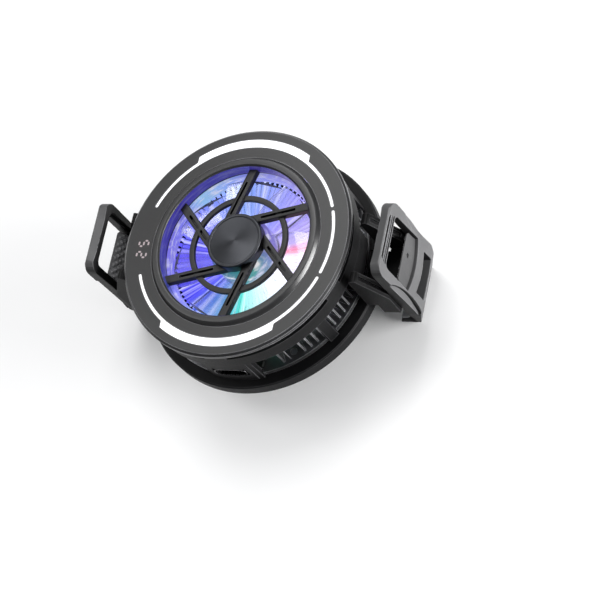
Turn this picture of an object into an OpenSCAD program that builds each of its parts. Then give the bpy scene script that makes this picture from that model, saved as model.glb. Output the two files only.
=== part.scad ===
// Clip-on fan cooler for a phone: a round fan housing over a heatsink and a thermoelectric
// module, held by two jaws that slide apart together on racks and one pinion.
// Millimetres. Z = 0 is the cooled surface, +Z points from it to the fan's face,
// and the jaws slide along X.

/* [Housing] */
// Diameter of the front bezel
bezel_d = 60; // [59:0.5:63]
// Height of the bezel's face above the cooled surface
face_z = 21.2; // [21.2:0.2:26]
// Thickness of the bezel plate
bezel_t = 1.4; // [1.2:0.1:2]
// Diameter of the base ring
base_d = 62.8; // [62:0.2:66]
// Height of the base ring's ledge
base_h = 4.6; // [4.6:0.1:5]
// Moulded wall thickness
wall = 1.5; // [1.2:0.1:1.6]
// Gap between the cooled surface and the base's underside
base_lift = 0.8; // [0.7:0.05:1]
// Width of each post between the base and the housing
post_w = 2.7; // [2:0.1:3.5]

/* [Fan] */
// Diameter of the air opening in the collar
throat_d = 39.6; // [38:0.2:40.4]
// Width of the raised collar around the opening
collar_w = 2.5; // [2:0.1:3]
// Height of the collar above the bezel's face
collar_rise = 1.1; // [0.6:0.1:1.6]
// Number of spokes in the grille
spoke_count = 6; // [4:1:9]
// Width of a spoke
spoke_w = 1.8; // [1.4:0.1:2.6]
// Distance of a spoke's centre line from the fan's axis
spoke_offset = 5.5; // [3:0.5:6]
// Diameter of the hub cap
cap_d = 14.3; // [13:0.1:16]
// Number of fan blades
blade_count = 7; // [5:1:11]
// Pitch of the blades from flat
blade_tilt = 24; // [20:1:40]
// Gap between the blade tips and the light ring
tip_gap = 0.6; // [0.4:0.1:1.2]

/* [Cooling stack] */
// Side of the square thermoelectric module
module_side = 20; // [16:0.5:20.4]
// Thickness of the thermoelectric module
module_t = 3.2; // [3:0.1:3.6]
// Diameter of the cold plate
cold_d = 37; // [30:0.5:38]
// Thickness of the cold plate
cold_t = 1.4; // [1.2:0.1:1.6]
// Thickness of the silicone contact pad
pad_t = 0.6; // [0.5:0.05:0.7]
// Number of fin places round the heatsink
fin_count = 90; // [40:2:100]
// Thickness of a fin
fin_t = 0.45; // [0.3:0.05:0.6]
// Height of the fins
fin_h = 5.6; // [4:0.1:5.8]
// Thickness of the heatsink's plate
plate_t = 1.2; // [1:0.1:1.4]

/* [Clamp] */
// Width held between the jaws as drawn
grip_w = 70.6; // [70:0.2:74]
// Thickness held between the contact pad and the jaw lips
grip_t = 8.25; // [7:0.25:11]
// Travel of each jaw outwards
travel_out = 8.7; // [4:0.1:9]
// Travel of each jaw inwards
travel_in = 1.2; // [0.5:0.1:1.3]
// Width of a jaw at its top
jaw_top_w = 19; // [18:0.2:22]
// Width of a jaw at its foot
jaw_foot_w = 17.8; // [17.4:0.2:22]
// Offset of the jaws along the held edges
jaw_shift = 1.1; // [0:0.1:1.6]
// Height of a jaw's top edge above the cooled surface
jaw_top_z = 22.6; // [20:0.2:26]
// Thickness of a jaw at its top edge
jaw_t = 2.5; // [2:0.1:3.5]
// Outward lean of a jaw's outer face over its height
jaw_lean = 1.2; // [0:0.1:2]
// Thickness of the silicone grip liners
liner_t = 2; // [1.6:0.1:2.4]
// Reach of the jaw lips under the held edge
lip_reach = 2.4; // [1.5:0.1:3]
// Width of an arm's tongue
tongue_w = 11; // [9:0.2:11.4]
// Teeth on the pinion
pinion_teeth = 12; // [10:1:12]

/* [Lights and socket] */
// Radius of the light strips' inner edge
strip_r = 25.3; // [25:0.1:25.8]
// Width of the thin light strips
strip_thin = 0.65; // [0.5:0.05:0.9]
// Width of the wide light strips
strip_wide = 2; // [1.4:0.1:2.4]
// Width of the power socket's shell
socket_w = 8.9; // [8.9:0.1:9.4]
// Height of the power socket's shell
socket_h = 3.2; // [3.1:0.1:3.4]
// Depth of the power socket
socket_depth = 7.3; // [6.5:0.1:7.5]

/* [Hidden] */
$fn = 96;

// Clearances
slip = 0.2;
snug = 0.05;
eps = 0.01;
merge = 0.4;

// Heights of the stack, from the cooled surface up
cold_top = pad_t + cold_t;
floor_top = base_lift + 1.2;
module_top = cold_top + module_t;
plate_top = module_top + plate_t;
fin_top = plate_top + fin_h;
bracket_z = fin_top + 0.4;
bracket_t = 0.8;
deck_z = bracket_z + 1.4;
deck_t = 1.2;
deck_top = deck_z + deck_t;
bezel_z = face_z - bezel_t;
collar_top = face_z + collar_rise;
board_t = 0.8;

// Radii
bezel_r = bezel_d / 2;
base_r = base_d / 2;
cavity_r = base_r - wall;
housing_r = bezel_r - 0.6;
throat_r = throat_d / 2;
shroud_in = throat_r + 0.1;
shroud_out = shroud_in + 1.3;
collar_r = throat_r + collar_w;
guide_t = 0.85;
guide_h = 3.4;
guide_in = shroud_in - snug - guide_t;
tip_r = guide_in - tip_gap;
cold_r = cold_d / 2;
pad_r = cold_r - 2;
post_in = housing_r - 1.4;
post_step = 0.35;
skirt_r = housing_r - 0.15;
plate_r = housing_r - 0.8;
fin_in = 13.5;
fin_out = plate_r - 1;
ledge_in = housing_r - 1.2;

// Angles of the posts, of the slots in the wall and of the light strips
post_angles = [37, 79, 101, 143, 217, 259, 281, 323];
slot_spans = [[27.5, 84.5], [95.5, 152.5], [207.5, 264.5], [275.5, 332.5], [-17.5, 17.5], [162.5, 197.5]];
slot_h = 1.9;
slot_z = bezel_z - slot_h - 0.3;
apron_half = 13;
apron_drop = 5.2;
socket_angle = 270;
socket_panel_half = 11;
socket_gap_half = 24;

// Grille and hub
spoke_h = 1.2;
spoke_drop = 1.4;
spoke_z = face_z - spoke_drop - spoke_h;
sleeve_z = spoke_z - 0.1;
spoke_phase = 30;
spoke_groove_w = 0.6;
spoke_groove_depth = 0.6;
spoke_groove_span = [8.6, 16.2];
mid_ring_r = [11.6, 13];
mid_ring_t = 1;
mid_ring_z = spoke_z - 0.1;
cap_r = cap_d / 2;
seat_r = cap_r - 0.7;
cap_t = 0.9;
cap_top = face_z + 0.5;
guide_z = sleeve_z - 0.3 - guide_h;

// Rotor and motor
rotor_z = bracket_z + bracket_t + 0.4;
rotor_top = mid_ring_z - 0.35;
hub_r = 8;
hub_wall = 0.7;
magnet_t = 0.7;
stator_r = hub_r - hub_wall - magnet_t - 0.55;
shaft_r = 0.75;
bearing_r = 2;
tube_r = 2.8;
run_gap = 0.05;
bearing_foot = bracket_z + 0.5;
bearing_top = rotor_top - 1.9;
shaft_foot = bracket_z + 0.6;
crown_t = 0.9;
strut_w = 1.6;
strut_root = 1;
strut_gap = 0.1;
core_z = rotor_z + 0.3;
core_h = 2.6;
yoke_t = 1;
tooth_w = 1.1;
shoe_t = 0.7;
shoe_half = 22;
coil_w = 1.9;
coil_h = 2.3;
coil_bore = tooth_w + 0.1;
pole_count = 6;
blade_t = 0.7;
blade_rise = rotor_top - rotor_z - 0.6;
blade_chord = (blade_rise - blade_t * cos(blade_tilt)) / sin(blade_tilt);
bracket_arms = 4;

// Bezel, strips and display
strip_depth = 2.2;
strip_sink = 0.05;
strip_wide_half = 33.5;
strip_ramp = 2.6;
strip_end = 68.5;
strip_side_half = 17.7;
window_r = [collar_r + 0.6, bezel_r - 3];
window_t = 0.5;
window_gap = 0.1;
digit_h = 0.73 * (window_r[1] - window_r[0]);
digit_w = 1.9;
digit_pitch = 3;
digit_stroke = 0.14 * digit_h;
display_edge = 0.45;
display_w = digit_pitch + digit_w + 2 * display_edge;
display_d = digit_h + 0.1;
digit_slit = 0.12;
digit_t = 0.08;
display_r = (window_r[0] + window_r[1]) / 2 - 0.05;
display_y = -2.3;
window_margin = 0.25;
window_half = asin((display_w / 2 - display_y + window_margin) / (display_r - display_d / 2));
segments_of = [[1, 1, 0, 1, 1, 0, 1], [1, 0, 1, 1, 0, 1, 1]];

// Clamp layout
jaw_in = grip_w / 2 + liner_t;
lip_t = 1;
liner_lip_t = 0.75;
lip_z = -grip_t - liner_lip_t;
foot_z = lip_z - lip_t;
jaw_top_x = jaw_in + jaw_t;
jaw_knee_z = -2.6;
knee_round = 8;
lip_w = jaw_foot_w - 1.6;
jaw_knee_x = jaw_top_x + jaw_lean;
lip_x = grip_w / 2 - lip_reach;
window_sill = 6.3;
window_head = jaw_top_z - 3.3;
window_w = [13.2, 13.6];
window_sag = 1.6;
slot_sill = -2.6;
slot_head = 2.2;
slot_w = [10.6, 10.8];
slot_sag = 0.9;
rim_step = 0.8;
rim_depth = 0.7;
scallop_span = [-2.2, 13.6];
scallop_depth = 0.6;
grip_groove_count = 4;
grip_groove_w = 0.34;
grip_groove_pitch = 0.62;
grip_groove_depth = 0.3;
finger_pad_w = window_w[1] - 0.2;
finger_pad_h = 5;
finger_pad_t = [1, 2.2];
finger_pad_inset = 0.5;
knurl_pitch = 1.4;
knurl_depth = 0.4;
cheek_y = [6.2, 9];
cheek_root_x = base_r + travel_in + 0.35;
cheek_tip_x = housing_r + travel_in - 0.35;
cheek_top_z = 18.4;
cheek_slope_z = 8.6;
cheek_foot_z = 1;
cheek_groove_w = 1;
cheek_groove_depth = 0.6;

// Racks, pinion and spring inside the base
gear_module = 0.5;
pitch_r = gear_module * pinion_teeth / 2;
gear_pitch = PI * gear_module;
gear_backlash = 0.24;
gear_add = 0.42;
gear_ded = 0.62;
rack_bar = 1.6;
rack_z = floor_top + slip;
rack_t = 1.5;
inner_bar_y = module_side / 2 + 0.35;
pinion_y = inner_bar_y + rack_bar + gear_ded + pitch_r;
pin_r = 0.75;
cross_x = module_side / 2 + travel_in + slip;
cross_w = 2;
rack_end = travel_out + 3.4;
outer_cross_x = cross_x + 1;
inner_rack_end = outer_cross_x - slip - 2 * travel_in;
lug_y = -13.4;
lug_r = 0.6;
spring_d = 2.2;
spring_wire = 0.4;
spring_turns = 18;
spring_z = rack_z + rack_t + spring_wire / 2 + 0.08;
spring_half = cross_x + cross_w / 2 - lug_r - snug;

// Screws through the base into the heatsink
screw_places = [[9, 25.2], [-9, 25.2], [14, -22], [-14, -22]];
screw_r = 0.8;
screw_head_r = 1.5;
screw_head_t = 0.8;
screw_end = plate_top - 0.3;
boss_r = 1.9;

// Socket and its board
socket_face = housing_r - 0.3;
socket_board_z = plate_top + 0.3;
socket_board_t = 0.9;
socket_z = socket_board_z + socket_board_t + socket_h / 2;
socket_board = [14, 9.8];
socket_board_inset = 2.6;
socket_skin = 0.3;

// General shapes
module ring(r_out, r_in, z0, z1) {
    difference() {
        translate([0, 0, z0]) cylinder(r = r_out, h = z1 - z0);
        translate([0, 0, z0 - eps]) cylinder(r = r_in, h = z1 - z0 + 2 * eps);
    }
}

module sector(r_out, r_in, z0, z1, a0, a1) {
    rotate([0, 0, a0])
        rotate_extrude(angle = a1 - a0)
            translate([r_in, z0]) square([r_out - r_in, z1 - z0]);
}

// A sector with round ends, for slots in the bezel and in the wall
module round_sector(r_out, r_in, z0, z1, a0, a1) {
    mid = (r_out + r_in) / 2;
    sector(r_out, r_in, z0, z1, a0, a1);
    for (a = [a0, a1])
        rotate([0, 0, a]) translate([mid, 0, z0]) cylinder(d = r_out - r_in, h = z1 - z0, $fn = 24);
}

function unit(v) = v / norm(v);
function turn_between(a, b) = acos(max(-1, min(1, a * b)));

// Points of a polygon with each corner replaced by an arc of radius r[i]
function rounded(pts, r, steps = 6) = [
    for (i = [0 : len(pts) - 1])
        let (
            p = pts[i],
            a = unit(pts[(i + len(pts) - 1) % len(pts)] - p),
            b = unit(pts[(i + 1) % len(pts)] - p),
            half = turn_between(a, b) / 2,
            mid = unit(a + b),
            centre = p + mid * (r[i] / sin(half)),
            from = unit(p + a * (r[i] / tan(half)) - centre),
            to = unit(p + b * (r[i] / tan(half)) - centre),
            swing = turn_between(from, to)
        )
        for (k = [0 : r[i] > 0 ? steps : 0])
            r[i] > 0
                ? centre + r[i] * (from * sin(swing * (1 - k / steps)) + to * sin(swing * k / steps)) / sin(swing)
                : p
];

// A four-sided outline, wide w[0] at the top and w[1] at the bottom
function trapezoid(w, z0, z1) = [[-w[1] / 2, z0], [w[1] / 2, z0], [w[0] / 2, z1], [-w[0] / 2, z1]];

// Points along an edge of width w at height z that sags by s in its middle
function sagging(w, z, s, steps = 12) = [
    for (k = [0 : steps])
        let (y = w * (k / steps - 0.5))
            [y, z - s * (1 - pow(2 * y / w, 2))]
];

// A trapezoid whose foot sags by s and whose top corners have radius r
function sagged(w, z0, z1, r, s) =
    let (top = rounded(trapezoid(w, z0, z1), [0, 0, r, r]))
        concat(sagging(w[1], z0, s), [for (k = [2 : len(top) - 1]) top[k]]);

// Turns an outline drawn in Y and Z into a plate from x0 to x1
module plate_yz(pts, x0, x1) {
    translate([x0, 0, 0])
        rotate([90, 0, 90])
            linear_extrude(height = x1 - x0) polygon(pts);
}

// Turns an outline drawn in X and Z into a plate from y0 to y1
module plate_xz(pts, y0, y1) {
    translate([0, y1, 0])
        rotate([90, 0, 0])
            linear_extrude(height = y1 - y0) polygon(pts);
}

// Cooling stack
module thermal_pad() {
    color("silver") cylinder(r = pad_r, h = pad_t);
}

module cold_plate() {
    color("gainsboro") translate([0, 0, pad_t]) cylinder(r = cold_r, h = cold_t);
}

module thermo_module() {
    ceramic_t = 0.7;
    rows = 6;
    leg_pitch = (module_side - 2) / rows;
    leg_w = leg_pitch * 0.5;
    color("white") {
        for (z = [cold_top, module_top - ceramic_t])
            translate([-module_side / 2, -module_side / 2, z]) cube([module_side, module_side, ceramic_t]);
        for (i = [0 : rows - 1])
            for (j = [0 : rows - 1])
                translate([
                    (i - rows / 2 + 0.5) * leg_pitch - leg_w / 2,
                    (j - rows / 2 + 0.5) * leg_pitch - leg_w / 2,
                    cold_top + ceramic_t - eps
                ])
                    cube([leg_w, leg_w, module_t - 2 * ceramic_t + 2 * eps]);
    }
}

module heatsink() {
    spacing = 360 / fin_count;
    color("lightgray")
        difference() {
            union() {
                translate([0, 0, module_top]) cylinder(r = plate_r, h = plate_t);
                for (k = [0 : fin_count - 1])
                    if (abs(k * spacing - socket_angle) > socket_gap_half)
                        rotate([0, 0, k * spacing])
                            translate([fin_in, -fin_t / 2, plate_top - eps])
                                cube([fin_out - fin_in, fin_t, fin_h + eps]);
            }
            for (p = screw_places)
                translate([p[0], p[1], module_top - eps]) cylinder(r = screw_r + snug, h = plate_t + 2 * eps);
            for (p = screw_places)
                translate([p[0], p[1], plate_top]) cylinder(r = boss_r, h = fin_h + eps);
            for (a = post_angles)
                rotate([0, 0, a])
                    translate([post_in - post_step - slip, -post_w / 2 - slip, module_top - 1])
                        cube([4, post_w + 2 * slip, fin_h + plate_t + 2]);
            sector(plate_r + 1, post_in - slip, module_top - 1, fin_top + 1,
                socket_angle - socket_panel_half, socket_angle + socket_panel_half);
        }
}

// Base ring with its floor, ledge, arm notches, screw bosses and the cold plate's opening
module base_cover() {
    ledge_t = 0.7;
    edge = 0.7;
    notch_w = tongue_w + 2 * slip;
    color("dimgray")
        difference() {
            union() {
                rotate_extrude()
                    polygon([
                        [cold_r + snug, base_lift], [base_r - edge, base_lift], [base_r, base_lift + edge],
                        [base_r, base_h - edge / 2], [base_r - edge / 2, base_h], [ledge_in, base_h],
                        [ledge_in, base_h - ledge_t], [cavity_r, base_h - ledge_t], [cavity_r, floor_top],
                        [cold_r + snug, floor_top]
                    ]);
                for (p = screw_places)
                    translate([p[0], p[1], floor_top - eps])
                        cylinder(r = boss_r, h = module_top - floor_top + eps);
            }
            for (side = [0, 180])
                rotate([0, 0, side])
                    translate([ledge_in - 2, -notch_w / 2, floor_top]) cube([base_r, notch_w, base_h]);
            for (p = screw_places) {
                translate([p[0], p[1], base_lift - eps])
                    cylinder(r = screw_head_r + slip, h = screw_head_t + 0.1 + eps);
                translate([p[0], p[1], base_lift]) cylinder(r = screw_r + snug, h = module_top);
            }
        }
}

module base_screws() {
    head_z = base_lift + 0.1;
    drive_w = 0.5;
    color("silver")
        for (p = screw_places)
            translate([p[0], p[1], 0])
                difference() {
                    union() {
                        translate([0, 0, head_z]) cylinder(r = screw_head_r, h = screw_head_t);
                        translate([0, 0, head_z]) cylinder(r = screw_r, h = screw_end - head_z);
                    }
                    for (a = [0, 90])
                        rotate([0, 0, a])
                            translate([-screw_head_r * 0.6, -drive_w / 2, head_z - eps])
                                cube([screw_head_r * 1.2, drive_w, 0.4]);
                }
}

// Housing
module mid_housing() {
    panel_a0 = socket_angle - socket_panel_half;
    panel_a1 = socket_angle + socket_panel_half;
    color("dimgray")
        difference() {
            union() {
                ring(housing_r, housing_r - wall, deck_z, bezel_z);
                ring(housing_r, shroud_in, deck_z, deck_top);
                ring(shroud_out, shroud_in, bracket_z, sleeve_z);
                for (side = [0, 180])
                    rotate([0, 0, side])
                        sector(skirt_r, post_in, deck_z - apron_drop, deck_z + merge, -apron_half, apron_half);
                sector(skirt_r, post_in, base_h + slip, deck_z + merge, panel_a0, panel_a1);
                for (a = post_angles)
                    rotate([0, 0, a])
                        translate([post_in - post_step, -post_w / 2, base_h])
                            cube([housing_r - post_in, post_w, deck_z - base_h + merge]);
            }
            for (s = slot_spans)
                sector(housing_r + 1, housing_r - wall - 1, slot_z, slot_z + slot_h, s[0], s[1]);
            translate([0, -socket_face, socket_z])
                cube([socket_w + 2 * slip, 4 * wall, socket_h + 2 * slip], center = true);
        }
}

module control_board() {
    color("darkgreen")
        translate([-socket_board[0] / 2, -socket_face + socket_board_inset, socket_board_z])
            cube([socket_board[0], socket_board[1], socket_board_t]);
    leg = 2;
    leg_x = 4.6;
    leg_y = -socket_face + socket_board_inset + socket_board[1] - 1.5 * leg;
    color("darkgreen")
        for (x = [-leg_x, leg_x])
            translate([x - leg / 2, leg_y, plate_top]) cube([leg, leg, socket_board_z - plate_top + eps]);
    chip = [6, 2.6, 1];
    chip_y = -socket_face + socket_depth + 1.4;
    color("black")
        translate([-chip[0] / 2, chip_y, socket_board_z + socket_board_t - eps]) cube(chip);
}

module usb_socket() {
    tongue = [6.6, 4.6, 0.7];
    color("silver")
        translate([0, -socket_face, socket_z]) {
            difference() {
                rotate([-90, 0, 0])
                    linear_extrude(height = socket_depth) stadium(socket_w, socket_h);
                translate([0, -eps, 0])
                    rotate([-90, 0, 0])
                        linear_extrude(height = socket_depth - 0.8)
                            stadium(socket_w - 2 * socket_skin, socket_h - 2 * socket_skin);
            }
            translate([-tongue[0] / 2, socket_depth - 0.8 - tongue[1], -tongue[2] / 2])
                cube([tongue[0], tongue[1] + 0.4, tongue[2]]);
        }
}

module stadium(w, h) {
    square([w - h, h], center = true);
    for (s = [-1, 1])
        translate([s * (w - h) / 2, 0]) circle(d = h, $fn = 32);
}

// Lights
module led_board() {
    color("darkgreen") ring(housing_r - wall - 0.3, shroud_out + 0.2, deck_top, deck_top + board_t);
}

module leds() {
    count = 16;
    side = 1.8;
    rise = 0.8;
    lamp_gap = 0.85;
    lamp_r = shroud_out + lamp_gap + side / 2;
    color("white")
        for (k = [0 : count - 1])
            let (a = (k + 0.5) * 360 / count)
                if (abs(a - 180) > window_half)
                    rotate([0, 0, a])
                        translate([lamp_r - side / 2, -side / 2, deck_top + board_t]) cube([side, side, rise]);
}

module light_guide() {
    color("lavender") ring(shroud_in - snug, guide_in, guide_z, sleeve_z - 0.3);
}

// Motor
module motor_bracket() {
    color("dimgray")
        difference() {
            union() {
                translate([0, 0, bracket_z]) cylinder(r = hub_r, h = bracket_t);
                translate([0, 0, bracket_z]) cylinder(r = tube_r, h = bearing_top - bracket_z);
                for (k = [0 : bracket_arms - 1])
                    rotate([0, 0, (k + 0.5) * 360 / bracket_arms])
                        translate([hub_r - strut_root, -strut_w / 2, bracket_z])
                            cube([shroud_in - snug - strut_gap - hub_r + strut_root, strut_w, bracket_t]);
            }
            translate([0, 0, bearing_foot - 2 * snug]) cylinder(r = bearing_r + snug, h = rotor_top);
        }
}

module bearing_sleeve() {
    color("darkgoldenrod") ring(bearing_r, shaft_r + run_gap, bearing_foot, bearing_top);
}

module stator_core() {
    tooth_in = tube_r + yoke_t / 2;
    color("gray")
        difference() {
            union() {
                ring(tube_r + yoke_t, tube_r + snug, core_z, core_z + core_h);
                for (k = [0 : pole_count - 1])
                    rotate([0, 0, k * 360 / pole_count]) {
                        translate([tooth_in, -tooth_w / 2, core_z])
                            cube([stator_r - shoe_t / 2 - tooth_in, tooth_w, core_h]);
                        sector(stator_r, stator_r - shoe_t, core_z, core_z + core_h, -shoe_half, shoe_half);
                    }
            }
            translate([0, 0, core_z - eps]) cylinder(r = tube_r + snug, h = core_h + 2 * eps);
        }
}

module stator_coils() {
    coil_in = tube_r + yoke_t + snug;
    coil_out = stator_r - shoe_t - snug;
    color("peru")
        for (k = [0 : pole_count - 1])
            rotate([0, 0, k * 360 / pole_count])
                difference() {
                    translate([coil_in, -coil_w / 2, core_z + (core_h - coil_h) / 2])
                        cube([coil_out - coil_in, coil_w, coil_h]);
                    translate([tube_r, -coil_bore / 2, core_z - eps]) cube([stator_r, coil_bore, core_h + 2 * eps]);
                }
}

// Rotor
module rotor_shaft() {
    color("silver") translate([0, 0, shaft_foot]) cylinder(r = shaft_r, h = rotor_top - crown_t - shaft_foot);
}

module rotor_magnet() {
    color("darkslategray")
        ring(hub_r - hub_wall, hub_r - hub_wall - magnet_t, rotor_z + 0.2, rotor_top - 1.2);
}

module impeller() {
    color("lavender") {
        difference() {
            translate([0, 0, rotor_z]) cylinder(r = hub_r, h = rotor_top - rotor_z);
            translate([0, 0, rotor_z - eps])
                cylinder(r = hub_r - hub_wall, h = rotor_top - rotor_z - crown_t + eps);
        }
        intersection() {
            ring(tip_r, hub_r - 0.2, rotor_z, rotor_top);
            for (k = [0 : blade_count - 1])
                rotate([0, 0, k * 360 / blade_count])
                    translate([0, 0, (rotor_z + rotor_top) / 2])
                        rotate([blade_tilt, 0, 0])
                            translate([hub_r - 1, -blade_chord / 2, -blade_t / 2])
                                cube([tip_r - hub_r + 2, blade_chord, blade_t]);
        }
    }
}

// Front
module strip_cutters(gap, z0, z1) {
    r0 = strip_r - gap;
    thin = strip_r + strip_thin + gap;
    wide = strip_r + strip_wide + gap;
    root = strip_r + strip_thin / 2;
    for (mid = [90, 270]) {
        round_sector(thin, r0, z0, z1, mid - strip_end, mid + strip_end);
        sector(wide, root, z0, z1, mid - strip_wide_half, mid + strip_wide_half);
        for (s = [-1, 1])
            rotate([0, 0, mid + s * strip_wide_half])
                translate([0, 0, z0])
                    linear_extrude(height = z1 - z0)
                        polygon([
                            [root, -s * merge], [wide - snug, -s * merge], [wide - snug, 0],
                            [root * cos(strip_ramp), s * root * sin(strip_ramp)]
                        ]);
    }
    round_sector(thin, r0, z0, z1, -strip_side_half, strip_side_half);
}

module front_bezel() {
    edge = 0.55;
    lip_h = 1.2;
    color("dimgray")
        difference() {
            union() {
                rotate_extrude()
                    polygon([
                        [collar_r + snug, bezel_z], [bezel_r, bezel_z], [bezel_r, face_z - edge],
                        [bezel_r - edge, face_z], [collar_r + snug, face_z]
                    ]);
                ring(housing_r - wall - slip, housing_r - wall - slip - 0.9, bezel_z - lip_h, bezel_z + eps);
            }
            for (s = slot_spans)
                sector(housing_r, housing_r - wall - 2, bezel_z - lip_h - eps, bezel_z - 0.2, s[0], s[1]);
            strip_cutters(snug, bezel_z - strip_depth, face_z + eps);
            sector(window_r[1] + snug, window_r[0] - snug, bezel_z - lip_h - eps, face_z + eps,
                180 - window_half - 0.1, 180 + window_half + 0.1);
        }
}

module light_strips() {
    color("white") strip_cutters(0, face_z - strip_depth, face_z - strip_sink);
}

module display_module() {
    top = face_z - window_t - window_gap - digit_t;
    color([0.1, 0.1, 0.12])
        translate([-display_r - display_d / 2, display_y - display_w / 2, deck_top + board_t])
            cube([display_d, display_w, top - deck_top - board_t]);
}

// One seven-segment digit, upright along +Y, centred on its own middle
module digit(on) {
    half = digit_h / 2 - digit_stroke / 2;
    len_h = digit_w - digit_stroke - 2 * digit_slit;
    len_v = half - digit_stroke / 2 - 2 * digit_slit + digit_stroke / 2;
    places = [[0, half], [1, half / 2], [1, -half / 2], [0, -half], [-1, -half / 2], [-1, half / 2], [0, 0]];
    for (k = [0 : 6])
        if (on[k] == 1)
            translate([places[k][0] * (digit_w - digit_stroke) / 2, places[k][1]])
                square(places[k][0] == 0 ? [len_h, digit_stroke] : [digit_stroke, len_v], center = true);
}

module display_digits() {
    color("mistyrose")
        translate([-display_r, display_y, face_z - window_t - window_gap - digit_t])
            rotate([0, 0, 90])
                linear_extrude(height = digit_t)
                    for (k = [0 : 1])
                        translate([(k - 0.5) * digit_pitch, 0]) digit(segments_of[k]);
}

module display_window() {
    color([0.2, 0.18, 0.22, 0.6])
        sector(window_r[1], window_r[0], face_z - window_t, face_z, 180 - window_half, 180 + window_half);
}

// Collar, spokes and hub seat
module grille() {
    reach = sqrt(pow(throat_r + 0.4, 2) - pow(spoke_offset, 2));
    start = sqrt(pow(seat_r - 1, 2) - pow(min(spoke_offset, seat_r - 1.5), 2));
    foot = acos(spoke_offset / throat_r);
    groove = [for (r = spoke_groove_span) sqrt(pow(r, 2) - pow(spoke_offset, 2))];
    color("dimgray")
        difference() {
            union() {
                rotate_extrude()
                    polygon([
                        [throat_r, sleeve_z], [shroud_out, sleeve_z], [shroud_out, bezel_z],
                        [collar_r, bezel_z], [collar_r, face_z + 0.1],
                        [collar_r - 0.7, collar_top], [throat_r + 0.4, collar_top], [throat_r, collar_top - 0.4]
                    ]);
                translate([0, 0, sleeve_z]) cylinder(r = seat_r, h = cap_top - cap_t - sleeve_z);
                ring(mid_ring_r[1], mid_ring_r[0], mid_ring_z, mid_ring_z + mid_ring_t);
                for (k = [0 : spoke_count - 1])
                    rotate([0, 0, spoke_phase + foot + k * 360 / spoke_count])
                        translate([spoke_offset - spoke_w / 2, -reach, spoke_z])
                            cube([spoke_w, reach - start, spoke_h]);
            }
            for (k = [0 : spoke_count - 1])
                rotate([0, 0, spoke_phase + foot + k * 360 / spoke_count])
                    translate([spoke_offset, 0, spoke_z + spoke_h - spoke_groove_depth]) {
                        translate([-spoke_groove_w / 2, -groove[1], 0])
                            cube([spoke_groove_w, groove[1] - groove[0], spoke_groove_depth + 1]);
                        translate([0, -groove[1], 0])
                            cylinder(d = spoke_groove_w, h = spoke_groove_depth + 1, $fn = 24);
                    }
            cap_pocket(spoke_z + 0.4, cap_r + snug, seat_r);
        }
}

// The space that the cap's skirt takes round the hub seat
module cap_pocket(z0, r_out, r_in) {
    ring(r_out, r_in, z0, cap_top + 1);
}

module hub_cap() {
    edge = 0.4;
    color("dimgray")
        rotate_extrude()
            polygon([
                [0, cap_top - cap_t], [seat_r + snug, cap_top - cap_t], [seat_r + snug, spoke_z + 0.4],
                [cap_r, spoke_z + 0.4], [cap_r, cap_top - edge], [cap_r - edge, cap_top],
                [cap_r - 0.9, cap_top], [cap_r - 0.9, cap_top - 0.15], [0, cap_top - 0.15]
            ]);
}

// Racks and pinion
module rack_teeth(count) {
    flank = tan(20);
    half = (gear_pitch - gear_backlash) / 4;
    for (k = [-count : count])
        translate([k * gear_pitch, 0])
            polygon([
                [-half - flank * gear_ded, -gear_ded], [half + flank * gear_ded, -gear_ded],
                [half - flank * gear_add, gear_add], [-half + flank * gear_add, gear_add]
            ]);
}

module pinion_pin() {
    color("silver") translate([0, pinion_y, floor_top]) cylinder(r = pin_r, h = slip + rack_t + 0.3);
}

module pinion() {
    flank = 0.22;
    half = (gear_pitch - gear_backlash) / 4;
    root = pitch_r - gear_ded;
    tip = pitch_r + gear_add;
    color("ivory")
        translate([0, pinion_y, rack_z])
            difference() {
                linear_extrude(height = rack_t) {
                    circle(r = root);
                    for (k = [0 : pinion_teeth - 1])
                        rotate([0, 0, 90 + k * 360 / pinion_teeth])
                            polygon([
                                [root - 0.3, -half - flank], [tip, -half + flank],
                                [tip, half - flank], [root - 0.3, half + flank]
                            ]);
                }
                translate([0, 0, -eps]) cylinder(r = pin_r + run_gap, h = rack_t + 2 * eps);
            }
}

// Tension spring between the arms' lugs, one tube swept along a helix with straight ends
function spring_point(t) =
    let (
        body = spring_half - 1.6,
        angle = 360 * spring_turns * t,
        lead = max(0, min(1, min(t, 1 - t) * spring_turns * 2)),
        r = (spring_d - spring_wire) / 2 * lead
    )
    [-body + 2 * body * t, r * cos(angle), r * sin(angle)];

spring_rings = spring_turns * 8;
spring_path = concat(
    [[-spring_half, 0, 0]],
    [for (k = [0 : spring_rings]) spring_point(k / spring_rings)],
    [[spring_half, 0, 0]]
);

function spring_gap_at(i) = min([
    for (j = [i + 6 : 1 : min(i + 11, len(spring_path) - 1)]) norm(spring_path[i] - spring_path[j])
]);

spring_self_gap = min([for (i = [12 : len(spring_path) - 24]) spring_gap_at(i)]) - spring_wire;
echo(spring_self_gap = spring_self_gap);

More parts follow.
